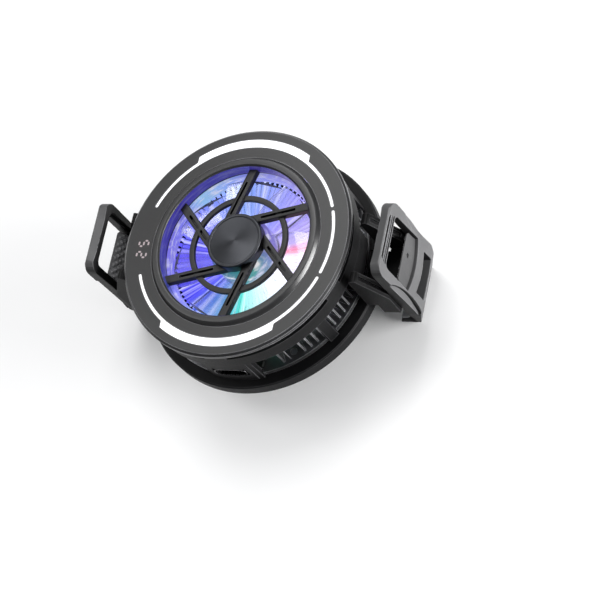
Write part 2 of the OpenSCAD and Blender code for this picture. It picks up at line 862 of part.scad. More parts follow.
module swept_tube(path, r, sides) {
    last = len(path) - 1;
    frames = [
        for (i = [0 : last])
            let (
                along = unit(path[min(i + 1, last)] - path[max(i - 1, 0)]),
                side = unit(cross(along, abs(along[2]) < 0.9 ? [0, 0, 1] : [0, 1, 0]))
            )
            [side, cross(along, side)]
    ];
    points = [
        for (i = [0 : last])
            for (k = [0 : sides - 1])
                path[i] + r * (frames[i][0] * cos(360 * k / sides) + frames[i][1] * sin(360 * k / sides))
    ];
    walls = [
        for (i = [0 : last - 1])
            for (k = [0 : sides - 1])
                let (a = i * sides + k, b = i * sides + (k + 1) % sides)
                for (t = [[a, b, b + sides], [a, b + sides, a + sides]]) t
    ];
    ends = [
        for (k = [1 : sides - 2])
            for (t = [[0, k + 1, k], [last * sides, last * sides + k, last * sides + k + 1]]) t
    ];
    polyhedron(points, concat(walls, ends));
}

module return_spring() {
    color("silver") translate([0, lug_y, spring_z]) swept_tube(spring_path, spring_wire / 2, 6);
}

// Arms: a tongue with its rack inside the base, and a block with two cheeks outside it
module arm_rack(outer) {
    bar_y = outer ? pinion_y + pitch_r + gear_ded : inner_bar_y;
    teeth_y = outer ? pinion_y + pitch_r : pinion_y - pitch_r;
    free_end = outer ? rack_end : inner_rack_end;
    bar_cross_x = outer ? outer_cross_x : cross_x;
    teeth_n = floor(rack_end / gear_pitch);
    intersection() {
        translate([0, 0, rack_z])
            linear_extrude(height = rack_t) {
                translate([-free_end, bar_y]) square([free_end + bar_cross_x + cross_w, rack_bar]);
                translate([bar_cross_x, -tongue_w / 2]) square([cross_w, bar_y + rack_bar + tongue_w / 2]);
                translate([cross_x, lug_y - 1.2]) square([cross_w, -lug_y]);
                intersection() {
                    translate([0, teeth_y])
                        mirror([0, outer ? 1 : 0])
                            translate([outer ? gear_pitch / 2 : rack_phase, 0]) rack_teeth(teeth_n);
                    translate([-free_end, 0]) square([free_end + travel_in + 3, 2 * cavity_r]);
                }
            }
        translate([-travel_out, 0, 0]) cylinder(r = cavity_r - slip, h = base_h);
    }
}

// Shift of the inner rack's teeth, so that both racks mesh with the same pinion
rack_phase = pinion_teeth % 2 == 0 ? gear_pitch / 2 : 0;

// The two cheeks beside an arm, drawn for the right-hand side
module arm_cheeks() {
    nose = 1.2;
    outline = rounded([
        [cheek_tip_x, base_h + 0.4], [cheek_root_x, base_h + 0.4], [cheek_root_x, cheek_foot_z],
        [jaw_in, cheek_foot_z], [jaw_in, cheek_slope_z], [cheek_tip_x + nose + 0.4, cheek_top_z],
        [cheek_tip_x, cheek_top_z - 0.8]
    ], [0, 0, 0, 0, 0, nose * 0.6, nose * 0.5]);
    slope = [jaw_in - cheek_tip_x - nose - 0.4, cheek_slope_z - cheek_top_z];
    groove_len = norm(slope) - 1.6;
    mid_y = (cheek_y[0] + cheek_y[1]) / 2;
    difference() {
        for (s = [-1, 1])
            plate_xz(outline, s > 0 ? cheek_y[0] : -cheek_y[1], s > 0 ? cheek_y[1] : -cheek_y[0]);
        for (s = [-1, 1])
            translate([jaw_in, s * mid_y, cheek_slope_z])
                rotate([0, -atan2(-slope[1], -slope[0]) - 180, 0])
                    translate([-0.4 - groove_len, -cheek_groove_w / 2, -cheek_groove_depth])
                        cube([groove_len, cheek_groove_w, 4]);
    }
}

module arm(outer) {
    tongue_t = base_h - 0.3 - rack_z;
    lug_x = cross_x + cross_w / 2;
    color([0.13, 0.13, 0.14]) {
        arm_rack(outer);
        translate([cross_x, -tongue_w / 2, rack_z])
            cube([ledge_in - 1 - travel_in - cross_x, tongue_w, rack_t]);
        translate([ledge_in - 1 - travel_in - eps, -tongue_w / 2, rack_z])
            cube([jaw_in - ledge_in + 1 + travel_in + eps, tongue_w, tongue_t]);
        translate([lug_x, lug_y, rack_z]) cylinder(r = lug_r, h = spring_z + spring_d / 2 - rack_z, $fn = 24);
        translate([cheek_root_x, -cheek_y[1], cheek_foot_z])
            cube([jaw_in - cheek_root_x, 2 * cheek_y[1], rack_z + tongue_t - cheek_foot_z]);
        arm_cheeks();
    }
}

// A jaw: a leaning frame with a finger window, a low slot, scalloped edges and a lip
module jaw() {
    outline = rounded([
        [-lip_w / 2, foot_z], [lip_w / 2, foot_z], [jaw_foot_w / 2, jaw_knee_z], [jaw_top_w / 2, jaw_top_z],
        [-jaw_top_w / 2, jaw_top_z], [-jaw_foot_w / 2, jaw_knee_z]
    ], [1.2, 1.2, 1.4, 3.2, 3.2, 1.4]);
    profile = rounded([
        [jaw_in, jaw_top_z], [jaw_in, lip_z], [lip_x, lip_z], [lip_x, foot_z], [jaw_in + 0.6, foot_z],
        [jaw_in + 1.6, foot_z + 2.6], [jaw_knee_x, jaw_knee_z], [jaw_top_x, jaw_top_z - 0.6],
        [jaw_top_x - 0.6, jaw_top_z]
    ], [0, 0, 0, 0.3, 1, 1.5, knee_round, 0.3, 0.3]);
    window = sagged(window_w, window_sill, window_head, 1.4, window_sag);
    rim_w = [for (w = window_w) w + 2 * rim_step];
    rim = rounded(trapezoid(rim_w, window_sill + rim_step, window_head + rim_step), [0.8, 0.8, 1.8, 1.8]);
    slot_top = sagging(slot_w[0], slot_head, slot_sag);
    slot_foot = sagging(slot_w[1], slot_sill, slot_sag);
    slot = concat(slot_foot, [for (k = [len(slot_top) - 1 : -1 : 0]) slot_top[k]]);
    far_x = jaw_knee_x + 5;
    color([0.45, 0.45, 0.46])
        difference() {
            intersection() {
                plate_xz(profile, -jaw_foot_w, jaw_foot_w);
                plate_yz(outline, 0, far_x);
            }
            plate_yz(window, jaw_in - 1, far_x);
            plate_yz(rim, jaw_in - 1, jaw_in + rim_depth);
            plate_yz(slot, jaw_in - 1, far_x);
            for (s = [-1, 1]) scallop(s);
            for (k = [0 : grip_groove_count - 1]) grip_groove(k);
        }
}

// Lens-shaped flat along one edge of a jaw's outer face
module scallop(s) {
    mid_z = (scallop_span[0] + scallop_span[1]) / 2;
    half = (scallop_span[1] - scallop_span[0]) / 2;
    big = (pow(half, 2) + pow(scallop_depth, 2)) / (2 * scallop_depth);
    up = (jaw_top_z - mid_z) / (jaw_top_z - foot_z);
    edge_y = (jaw_top_w + (jaw_foot_w - jaw_top_w) * up) / 2;
    edge_x = jaw_top_x + jaw_lean * (jaw_top_z - mid_z) / (jaw_top_z - jaw_knee_z);
    translate([edge_x, s * edge_y, mid_z])
        rotate([0, 0, s * 45])
            translate([big - scallop_depth, 0, 0])
                rotate([90, 0, 0])
                    translate([0, 0, -6]) cylinder(r = big, h = 12, $fn = 120);
}

module grip_groove(k) {
    z = window_head + 0.75 + k * grip_groove_pitch;
    groove_len = window_w[0] - 1.2 - k * 0.5;
    x = jaw_top_x + jaw_lean * (jaw_top_z - z) / (jaw_top_z - jaw_knee_z);
    translate([x - grip_groove_depth, -groove_len / 2, z - grip_groove_w / 2])
        cube([2, groove_len, grip_groove_w]);
}

// Rubber finger rest in the foot of the window, knurled on its inner face
module finger_pad() {
    foot = window_sill + snug;
    top = window_sill + finger_pad_h;
    x1 = jaw_top_x + jaw_lean * (jaw_top_z - top) / (jaw_top_z - jaw_knee_z) - finger_pad_inset;
    mid_t = (finger_pad_t[0] + finger_pad_t[1]) / 2;
    tilt = atan2(finger_pad_t[1] - finger_pad_t[0], top - foot);
    count = ceil((finger_pad_w + finger_pad_h) / knurl_pitch / 2);
    sole_w = finger_pad_w - 1;
    sole = concat(
        sagging(sole_w, foot, window_sag), [[sole_w / 2, foot + merge], [-sole_w / 2, foot + merge]]);
    color([0.3, 0.3, 0.31]) {
        difference() {
            intersection() {
                plate_xz([
                    [x1, foot], [x1, top], [x1 - finger_pad_t[0], top], [x1 - finger_pad_t[1], foot]
                ], -finger_pad_w / 2, finger_pad_w / 2);
                plate_yz(
                    rounded(trapezoid([finger_pad_w - 0.8, finger_pad_w], foot, top), [0, 0, 1, 1]),
                    jaw_in - 2, x1 + 1);
            }
            for (a = [-45, 45])
                for (k = [-count : count])
                    translate([x1 - mid_t, k * knurl_pitch, (foot + top) / 2])
                        rotate([0, tilt, 0])
                            rotate([a, 0, 0])
                                rotate([0, 0, 45])
                                    cube([knurl_depth, knurl_depth, 3 * finger_pad_h], center = true);
        }
        plate_yz(sole, x1 - finger_pad_t[1] + 1.5 * knurl_depth, x1 - 0.15);
    }
}

// Soft lining of the lip and of the wall above it
module grip_liner() {
    liner_top = 0.7;
    half = lip_w / 2 - 0.8;
    color("lightgray")
        plate_xz([
            [lip_x + 0.2, lip_z], [jaw_in, lip_z], [jaw_in, liner_top], [jaw_in - liner_t, liner_top - 0.5],
            [jaw_in - liner_t, lip_z + liner_lip_t + 0.4], [jaw_in - liner_t - 0.4, lip_z + liner_lip_t],
            [lip_x + 0.2, lip_z + liner_lip_t]
        ], -half, half);
}

// The left side is the right side's mirror image, apart from its rack
module left_side() {
    mirror([1, 0, 0]) children();
}

// Where a jaw and its soft pieces sit along the held edges
module jaw_place() {
    translate([0, jaw_shift, 0]) children();
}

module right_arm() { arm(true); }
module right_jaw() { jaw_place() jaw(); }
module right_finger_pad() { jaw_place() finger_pad(); }
module right_grip_liner() { jaw_place() grip_liner(); }
module left_arm() { left_side() arm(false); }
module left_jaw() { left_side() jaw_place() jaw(); }
module left_finger_pad() { left_side() jaw_place() finger_pad(); }
module left_grip_liner() { left_side() jaw_place() grip_liner(); }

thermal_pad();
cold_plate();
thermo_module();
base_cover();
base_screws();
heatsink();
mid_housing();
control_board();
usb_socket();
led_board();
leds();
light_guide();
motor_bracket();
bearing_sleeve();
stator_core();
stator_coils();
rotor_shaft();
rotor_magnet();
impeller();
front_bezel();
light_strips();
display_module();
display_digits();
display_window();
grille();
hub_cap();
pinion_pin();
pinion();
return_spring();
right_arm();
right_jaw();
right_finger_pad();
right_grip_liner();
left_arm();
left_jaw();
left_finger_pad();
left_grip_liner();
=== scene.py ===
"""Clip-on fan cooler: its finishes, its light, and the pieces that show more than the solids do.

Lengths are in millimetres until a mesh is made, in the solids' own frame: X points to the right jaw
and Z out of the fan's face. Lights and camera are placed in metres.
"""
import math

import bmesh
import bpy
import numpy as np
from mathutils import Matrix, Vector


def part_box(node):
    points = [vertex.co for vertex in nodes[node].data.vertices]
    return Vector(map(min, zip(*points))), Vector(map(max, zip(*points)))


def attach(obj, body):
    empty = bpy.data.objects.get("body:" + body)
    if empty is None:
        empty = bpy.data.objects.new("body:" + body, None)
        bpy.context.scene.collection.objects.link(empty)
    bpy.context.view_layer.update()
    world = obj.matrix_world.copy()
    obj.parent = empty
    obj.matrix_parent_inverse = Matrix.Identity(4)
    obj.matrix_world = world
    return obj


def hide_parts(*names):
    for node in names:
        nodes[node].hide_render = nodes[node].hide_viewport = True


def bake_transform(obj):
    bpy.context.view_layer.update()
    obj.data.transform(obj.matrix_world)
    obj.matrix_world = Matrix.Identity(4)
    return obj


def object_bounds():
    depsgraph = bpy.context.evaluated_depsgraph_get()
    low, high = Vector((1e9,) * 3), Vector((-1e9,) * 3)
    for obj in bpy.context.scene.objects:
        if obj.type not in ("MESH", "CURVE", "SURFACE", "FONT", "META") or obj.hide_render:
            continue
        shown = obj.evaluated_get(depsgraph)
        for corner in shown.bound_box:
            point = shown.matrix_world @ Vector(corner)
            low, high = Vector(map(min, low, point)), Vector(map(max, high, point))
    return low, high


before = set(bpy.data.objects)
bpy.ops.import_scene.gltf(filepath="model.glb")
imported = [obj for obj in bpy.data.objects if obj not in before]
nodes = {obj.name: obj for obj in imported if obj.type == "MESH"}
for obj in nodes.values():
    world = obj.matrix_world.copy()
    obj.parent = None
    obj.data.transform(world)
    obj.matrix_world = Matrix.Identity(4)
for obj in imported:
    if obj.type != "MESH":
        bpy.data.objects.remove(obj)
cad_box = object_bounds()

MM = 0.001
TURN = 2 * math.pi


# Sizes

def span(name):
    """Lowest and highest corner of a solid, in mm."""
    low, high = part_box(name)
    return low / MM, high / MM


def round_size(name):
    """Radius, foot and top of a solid that is round about the fan's axis."""
    low, high = span(name)
    return high.x, low.z, high.z


_, bezel_foot, face_z = round_size("front_bezel")
collar_r, guard_foot, collar_top = round_size("grille")
ring_r, ring_foot, ring_top = round_size("light_guide")
cap_r, cap_foot, cap_top = round_size("hub_cap")
hub_r, hub_foot, _ = round_size("rotor_magnet")
pad_r, pad_foot, pad_top = round_size("thermal_pad")
fin_top = span("heatsink")[1].z

# A hair's gap, the least radius of a turned profile, and the distance at which corners count as one
HAIR, AXIS, WELD_MM = 0.05, 0.01, 0.002
# Walls and clearances that the solids' boxes don't give
ring_wall, sleeve_wall, tip_gap, wheel_gap, lens_film = 0.85, 1.35, 0.65, 0.35, 0.004
throat_r = ring_r - HAIR
sleeve_r = ring_r + sleeve_wall
tip_r = ring_r - ring_wall - tip_gap
wheel_top = guard_foot - wheel_gap


# Materials

def linear(code):
    """The linear colour of an sRGB hex code."""
    parts = [int(code[k:k + 2], 16) / 255 for k in (1, 3, 5)]
    return [p / 12.92 if p <= 0.04045 else ((p + 0.055) / 1.055) ** 2.4 for p in parts] + [1.0]


def add(tree, kind, sockets, **settings):
    """Adds a node with its settings; a socket takes a value, or a link from another node's output."""
    node = tree.nodes.new(kind)
    stops = settings.pop("stops", [])
    for key, value in settings.items():
        setattr(node, key, value)
    for key, value in sockets.items():
        if isinstance(value, bpy.types.NodeSocket):
            tree.links.new(value, node.inputs[key])
        else:
            node.inputs[key].default_value = value
    for k, (at, code) in enumerate(stops):
        ramp = node.color_ramp.elements
        stop = ramp[k] if k < 2 else ramp.new(at)
        stop.position = at
        stop.color = linear(code)
    return node


def blank(name):
    """A new material with an empty node tree."""
    made = bpy.data.materials.new(name)
    made.use_nodes = True
    made.node_tree.nodes.clear()
    return made, made.node_tree


# Sockets of a colour mix, which share their names with those of its other kinds
MIX_FIRST, MIX_SECOND, MIX_RESULT = 6, 7, 2
# Width of the paler band along an edge, partly wear and partly painted highlight; real wear is finer, and is
# drawn this wide so that it shows
EDGE_WEAR_AND_HIGHLIGHT_MM = 0.3


def edge_wear_and_highlight(tree, broad):
    """How far a point is painted paler, as wear and as highlight: high along edges, and broken up by the
    drift of the tone.
    """
    soft = add(tree, "ShaderNodeBevel", {"Radius": EDGE_WEAR_AND_HIGHLIGHT_MM * MM}, samples=6).outputs["Normal"]
    true = add(tree, "ShaderNodeNewGeometry", {}).outputs["Normal"]
    same = add(tree, "ShaderNodeVectorMath", {0: soft, 1: true}, operation="DOT_PRODUCT").outputs["Value"]
    edge = add(tree, "ShaderNodeMapRange", {
        "Value": same, "From Min": 0.997, "From Max": 0.93, "To Min": 0.0, "To Max": 1.0}).outputs["Result"]
    patchy = add(tree, "ShaderNodeMapRange", {
        "Value": broad, "From Min": 0.3, "From Max": 0.6, "To Min": 0.35, "To Max": 1.0}).outputs["Result"]
    return add(tree, "ShaderNodeMath", {0: edge, 1: patchy}, operation="MULTIPLY").outputs[0]


def grained(name, dark, light, rough, grain, depth, patch=8.0, stretch=(1, 1, 1), rub_and_glint=None, **sockets):
    """A surface whose tone drifts over patches, with a fine grain in its gloss and its relief (mm).

    Real grains are finer than a picture of the whole part can show, so they are drawn at 0.2 mm and more.
    Where a paler edge colour is set, edges turn to it: partly rubbed wear, partly painted highlight.
    """
    made, tree = blank(name)
    spot = add(tree, "ShaderNodeTexCoord", {}).outputs["Object"]
    laid = add(tree, "ShaderNodeMapping", {"Vector": spot, "Scale": stretch}).outputs["Vector"]
    fine = add(tree, "ShaderNodeTexNoise", {
        "Vector": laid, "Scale": 1 / (grain * MM), "Detail": 3.0, "Roughness": 0.6}).outputs["Fac"]
    broad = add(tree, "ShaderNodeTexNoise", {
        "Vector": spot, "Scale": 1 / (patch * MM), "Detail": 4.0}).outputs["Fac"]
    tone = add(tree, "ShaderNodeValToRGB", {"Fac": broad}, stops=[(0.35, dark), (0.65, light)])
    colour = tone.outputs["Color"]
    # Edges painted paler, as wear and as highlight
    if rub_and_glint:
        rubbed_and_lit = add(tree, "ShaderNodeMix", {
            "Factor": edge_wear_and_highlight(tree, broad), MIX_FIRST: colour,
            MIX_SECOND: linear(rub_and_glint)}, data_type="RGBA")
        colour = rubbed_and_lit.outputs[MIX_RESULT]
    gloss = add(tree, "ShaderNodeMapRange", {
        "Value": fine, "From Min": 0.3, "From Max": 0.7,
        "To Min": rough[0], "To Max": rough[1]}).outputs["Result"]
    relief = add(tree, "ShaderNodeBump", {
        "Height": fine, "Strength": 0.6, "Distance": depth * MM}).outputs["Normal"]
    shade = add(tree, "ShaderNodeBsdfPrincipled", {
        "Base Color": colour, "Roughness": gloss, "Normal": relief})
    for key, value in sockets.items():
        shade.inputs[key.replace("_", " ")].default_value = value
    add(tree, "ShaderNodeOutputMaterial", {"Surface": shade.outputs["BSDF"]})
    return made


def glowing(name, base, stops, strength, rough, grain, streaks=0, bands=0.0, pale=0.0):
    """A milky surface that gives off light; its colour runs round the fan's axis.

    Pale flecks are laid over it: streaks of them round the axis, and bands of them per mm of height.
    """
    made, tree = blank(name)
    spot = add(tree, "ShaderNodeTexCoord", {}).outputs["Object"]
    around = add(tree, "ShaderNodeTexGradient", {"Vector": spot}, gradient_type="RADIAL").outputs["Fac"]
    hue = add(tree, "ShaderNodeValToRGB", {"Fac": around}, stops=stops).outputs["Color"]
    height = add(tree, "ShaderNodeSeparateXYZ", {"Vector": spot}).outputs["Z"]
    across = add(tree, "ShaderNodeMath", {0: around, 1: streaks}, operation="MULTIPLY").outputs[0]
    up = add(tree, "ShaderNodeMath", {0: height, 1: bands / MM}, operation="MULTIPLY").outputs[0]
    laid = add(tree, "ShaderNodeCombineXYZ", {"X": across, "Y": up}).outputs["Vector"]
    rays = add(tree, "ShaderNodeTexNoise", {
        "Vector": laid, "Scale": 1.0, "Detail": 3.0}, noise_dimensions="2D").outputs["Fac"]
    share = add(tree, "ShaderNodeMapRange", {
        "Value": rays, "From Min": 0.48, "From Max": 0.7, "To Min": 0.0, "To Max": pale}).outputs["Result"]
    shown = add(tree, "ShaderNodeMix", {
        "Factor": share, MIX_FIRST: hue,
        MIX_SECOND: linear("#ffffff")}, data_type="RGBA").outputs[MIX_RESULT]
    fine = add(tree, "ShaderNodeTexNoise", {
        "Vector": spot, "Scale": 1 / (grain * MM), "Detail": 2.0}).outputs["Fac"]
    gloss = add(tree, "ShaderNodeMapRange", {
        "Value": fine, "To Min": rough - 0.08, "To Max": rough + 0.08}).outputs["Result"]
    shade = add(tree, "ShaderNodeBsdfPrincipled", {
        "Base Color": linear(base), "Roughness": gloss, "IOR": 1.49,
        "Emission Color": shown, "Emission Strength": strength})
    add(tree, "ShaderNodeOutputMaterial", {"Surface": shade.outputs["BSDF"]})
    return made


def paint_jaw_shade(made, dark):
    """Paints shade on a jaw: the faces that look toward the fan or along the held edge turn near black."""
    tree = made.node_tree
    base = tree.nodes["Principled BSDF"].inputs["Base Color"]
    coords = add(tree, "ShaderNodeTexCoord", {})
    x = add(tree, "ShaderNodeSeparateXYZ", {"Vector": coords.outputs["Object"]}).outputs["X"]
    side = add(tree, "ShaderNodeMath", {0: x}, operation="SIGN").outputs[0]
    facing = add(tree, "ShaderNodeSeparateXYZ", {"Vector": coords.outputs["Normal"]})
    outward = add(tree, "ShaderNodeMath", {0: facing.outputs["X"], 1: side}, operation="MULTIPLY").outputs[0]
    inner = add(tree, "ShaderNodeMapRange", {
        "Value": outward, "From Min": -0.45, "From Max": -0.7,
        "To Min": 0.0, "To Max": 1.0}).outputs["Result"]
    along = add(tree, "ShaderNodeMath", {0: facing.outputs["Y"]}, operation="ABSOLUTE").outputs[0]
    flank = add(tree, "ShaderNodeMapRange", {
        "Value": along, "From Min": 0.72, "From Max": 0.9, "To Min": 0.0, "To Max": 1.0}).outputs["Result"]
    # Painted shade: inward faces and flanks turn near black
    shaded = add(tree, "ShaderNodeMath", {0: inner, 1: flank}, operation="MAXIMUM").outputs[0]
    mixed = add(tree, "ShaderNodeMix", {
        "Factor": shaded, MIX_FIRST: base.links[0].from_socket, MIX_SECOND: linear(dark)}, data_type="RGBA")
    tree.links.new(mixed.outputs[MIX_RESULT], base)


# ABS, moulded in a spark-eroded tool: an even black with a fine dry grain, its edges painted paler as
# highlight and wear
black_plastic = grained("abs_moulded_black", "#060607", "#0a0a0b", (0.46, 0.6), 0.25, 0.012,
                        rub_and_glint="#3a3a3c", IOR=1.53, Specular_IOR_Level=0.14)
# ABS, the same black made deeper and kept free of pale edges: painted shade for grooves and gaps, so thin
# lines stay deep black
shade_black = grained("abs_black_painted_shade", "#040405", "#070708", (0.5, 0.65), 0.25, 0.006,
                       IOR=1.53, Specular_IOR_Level=0.1)
# ABS, moulded in a polished and lightly blasted tool: a smooth satin grey-black, its edges painted paler as
# highlight and wear
bezel_plastic = grained("abs_moulded_satin_graphite", "#151516", "#19191a", (0.3, 0.36), 0.3, 0.001,
                        rub_and_glint="#8e8e92", IOR=1.53, Specular_IOR_Level=0.4)
# ABS, same resin from a finer tool: the paler lines along the collar's rolled edges are painted highlight,
# partly rubbed wear
collar_plastic = grained("abs_moulded_fine_graphite", "#161617", "#1a1a1b", (0.28, 0.34), 0.3, 0.001,
                         rub_and_glint="#a4a4a8", IOR=1.53, Specular_IOR_Level=0.42)
# ABS, moulded darker and matt, so the guard sinks back from the lit fan; its edges are painted paler as
# highlight and wear
guard_plastic = grained("abs_moulded_matt_dark", "#101011", "#151516", (0.38, 0.48), 0.28, 0.006,
                        rub_and_glint="#3c3c3e", IOR=1.53, Specular_IOR_Level=0.3)
# ABS, sprayed with a matt grey lacquer: softer and lighter than the housing; its edges are painted paler as
# highlight and wear, and the faces toward the fan and along the held edge are painted near black as shade
jaw_plastic = grained("abs_lacquered_matt_grey", "#444445", "#4b4b4c", (0.48, 0.58), 0.28, 0.006,
                      rub_and_glint="#77777a", IOR=1.53, Specular_IOR_Level=0.3)
paint_jaw_shade(jaw_plastic, "#0b0b0c")
# Silicone, compression moulded: a dull pale grey skin with a soft bloom
pad_silicone = grained("silicone_moulded_grey", "#8d9092", "#9a9d9f", (0.6, 0.75), 0.4, 0.02, IOR=1.41)
# Silicone, moulded soft for the held edges: the pale line along a jaw's lip
grip_silicone = grained("silicone_moulded_pale_grey", "#8e9092", "#9a9c9e", (0.55, 0.7), 0.35, 0.02,
                        IOR=1.41)
# Silicone of the lining's wall, painted near black as the shade behind the slot
slot_shade_silicone = grained("silicone_painted_slot_shade", "#0b0b0c", "#111112", (0.6, 0.75), 0.35, 0.02, IOR=1.41)
# Rubber of the knurled face, painted pale as light on a face that lies in shade: the knurls stand out
# against the dark jaw
knurl_rubber_painted_lit = grained("rubber_moulded_pale_painted_lit", "#b8b8ba", "#c6c6c8", (0.5, 0.65), 0.3, 0.02, IOR=1.52)
# Rubber, moulded smooth on the outer face: dark, dry and dull
dark_rubber = grained("rubber_moulded_dark_grey", "#2a2a2b", "#343435", (0.6, 0.75), 0.3, 0.02, IOR=1.52)
# Aluminium, extruded and skived: dull grey flanks with drawn lines up the fins, and edges painted bright: a
# painted highlight on the cut edges, partly wear
aluminium = grained("aluminium_skived", "#737477", "#88898c", (0.28, 0.42), 0.35, 0.006,
                    stretch=(1, 1, 0.12), rub_and_glint="#f0f1f3", Metallic=1.0)
# Alumina ceramic, fired and lapped: white and faintly clouded
ceramic = grained("alumina_fired_white", "#d9d8d2", "#e6e5df", (0.5, 0.6), 0.3, 0.004, IOR=1.77)
# Carbon steel, turned and zinc plated: cool grey with a soft bright sheen
steel = grained("steel_zinc_plated", "#a3a6aa", "#b8babd", (0.25, 0.4), 0.4, 0.004, Metallic=1.0)
# Steel strip, drawn and black nickel plated: a dark smooth shell
socket_steel = grained("steel_drawn_black_nickel", "#3a393b", "#464547", (0.2, 0.32), 0.5, 0.003,
                       stretch=(1, 0.15, 1), Metallic=1.0)
# Bronze strip, stamped and gold plated: small bright yellow fingers
contact_gold = grained("bronze_stamped_gold_plated", "#c99a45", "#d9ad58", (0.18, 0.28), 0.3, 0.002,
                       Metallic=1.0)
# Spring wire, cold drawn: grey steel with a hard bright line along every turn
spring_steel = grained("steel_wire_cold_drawn", "#8d8f92", "#a4a6a8", (0.2, 0.35), 0.3, 0.004, Metallic=1.0)
# Glass epoxy board under printed solder mask: glossy black with a slight unevenness
board = grained("glass_epoxy_solder_mask_black", "#0a0c0b", "#101311", (0.25, 0.4), 0.5, 0.01, IOR=1.55)
# Bronze, pressed and sintered: dull golden brown with open pores
bronze = grained("bronze_sintered", "#7d5f35", "#91703f", (0.4, 0.6), 0.2, 0.02, Metallic=1.0)
# Silicon steel sheet, stamped and stacked: thin duller and brighter layers up the stack
laminate = grained("silicon_steel_stamped", "#54565a", "#6b6d70", (0.35, 0.5), 0.5, 0.02,
                   stretch=(0.05, 0.05, 1), Metallic=1.0)
# Copper wire, enamelled and wound: warm orange with the turns as fine ridges
copper = grained("copper_wire_enamelled", "#8f4a22", "#a85a2b", (0.25, 0.4), 0.4, 0.04,
                 stretch=(0.1, 0.1, 1), Metallic=1.0)
# Ferrite, bonded and pressed: dark grey and matt
magnet = grained("ferrite_bonded_pressed", "#29292b", "#353537", (0.5, 0.65), 0.25, 0.01, IOR=1.55)
# Acetal, injection moulded: white and waxy
acetal = grained("acetal_moulded_white", "#d8d8d4", "#e3e3df", (0.35, 0.45), 0.3, 0.004, IOR=1.48)
# Polycarbonate, moulded with a deep smoked tint: it reads as the bezel until a segment lights behind it
smoked_lens = grained("polycarbonate_moulded_smoked", "#151416", "#191819", (0.3, 0.36), 0.3, 0.001,
                      IOR=1.53, Specular_IOR_Level=0.4)
# Polycarbonate, moulded water clear: blades that bend and catch the coloured light
clear_plastic = grained("polycarbonate_moulded_clear", "#ececfb", "#f6f6ff", (0.14, 0.18), 1.5, 0.0001,
                        IOR=1.58, Transmission_Weight=0.95)
# Aluminium, spun and dark anodised: tool lines too fine to draw turn its sheen into a fan shape
cap_metal = grained("aluminium_spun_dark_anodised", "#333437", "#3a3b3e", (0.3, 0.38), 0.3, 0.001,
                    Metallic=1.0, Anisotropic=0.75)

# Colours of the lamps round the throat, from the left side round by the foot, the right side and the top
LAMP_HUES = [(0.0, "#4337bf"), (1.0, "#4337bf"), (0.12, "#3d3dbc"), (0.19, "#327da7"), (0.25, "#3db29c"),
             (0.29, "#b4ffdf"), (0.34, "#e4fff1"), (0.42, "#ffffff"), (0.5, "#fff2f4"), (0.525, "#f4707a"),
             (0.55, "#b2a3cb"), (0.66, "#7871c4"), (0.8, "#7c9cd2"), (0.9, "#656fd0")]
# The same lamps seen in the milky ring itself, which makes them paler
RING_HUES = [(0.0, "#7d74f0"), (1.0, "#7d74f0"), (0.14, "#6f78ee"), (0.25, "#78dccf"), (0.37, "#f0fff6"),
             (0.5, "#ffd4d8"), (0.6, "#a79cf0"), (0.78, "#8f9cf2"), (0.88, "#a4dcf6"), (0.93, "#8a8cf2")]
# Acrylic, moulded milky: an even white light from the strips
diffuser = glowing("acrylic_moulded_opal", "#f2f2f2", [(0.0, "#ffffff"), (1.0, "#f4f6ff")], 0.55, 0.4, 0.6)
# Acrylic, moulded milky and lit from its edge: the bright ring in the throat
ring_acrylic = glowing("acrylic_moulded_opal_ring", "#6f6bb0", RING_HUES, 0.62, 0.3, 0.6, 36, 1.6, 0.7)
# The throat's wall above the ring takes mostly the violet lamps
WALL_HUES = [(0.0, "#4a3fd6"), (1.0, "#4a3fd6"), (0.25, "#3f6fc8"), (0.5, "#8f5a80"), (0.75, "#5a50d8")]
# A skin on the throat's wall above the ring, glowing deep and dim: painted light from the lamps
throat_wall_painted_glow = glowing("throat_wall_painted_lamp_light", "#1c1a3c", WALL_HUES, 0.3, 0.22, 0.6, 18, 1.2, 0.15)
# Acrylic, moulded milky and thin: vanes under the fan whose glow in the lamps' colours is painted light; the
# throat's wall below the ring and the covers on the bracket's arms carry the same painted glow
painted_lamp_glow = glowing("acrylic_opal_vane_painted_glow", "#5a56a0", LAMP_HUES, 1.6, 0.3, 0.6, 70, 0.0, 0.4)
# Epoxy, cast over coloured dice: small bright points in the lamps' own colours
lamp = glowing("epoxy_cast_lamp", "#f0f0f0", LAMP_HUES, 2.7, 0.3, 0.4)
# What reaches the fan's hub of the lamps' colours, from the left side round by the foot
HUB_HUES = [(0.0, "#3c34b0"), (1.0, "#3c34b0"), (0.24, "#3f8f98"), (0.36, "#4aa898"), (0.5, "#8d84d6")]
# Polycarbonate, moulded clear and blasted dull: its glow of violet and teal and pale flecks is painted light
# from the lamps
hub_frost_painted_glow = glowing("polycarbonate_blasted_hub_painted_glow", "#3f3b78", HUB_HUES, 0.7, 0.3, 0.6, 14, 0.5, 1.0)
# Epoxy, cast over lit segments: their light comes dim and rosy through the smoked lens
digit = glowing("epoxy_cast_segment", "#5a5456", [(0.0, "#b8a8ac"), (1.0, "#b8a8ac")], 0.75, 0.4, 0.4)


# Shapes

def place(piece, body, stands_for):
    """Lets a piece ride on a body and stand for its solids."""
    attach(piece, body)
    if stands_for:
        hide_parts(*stands_for)


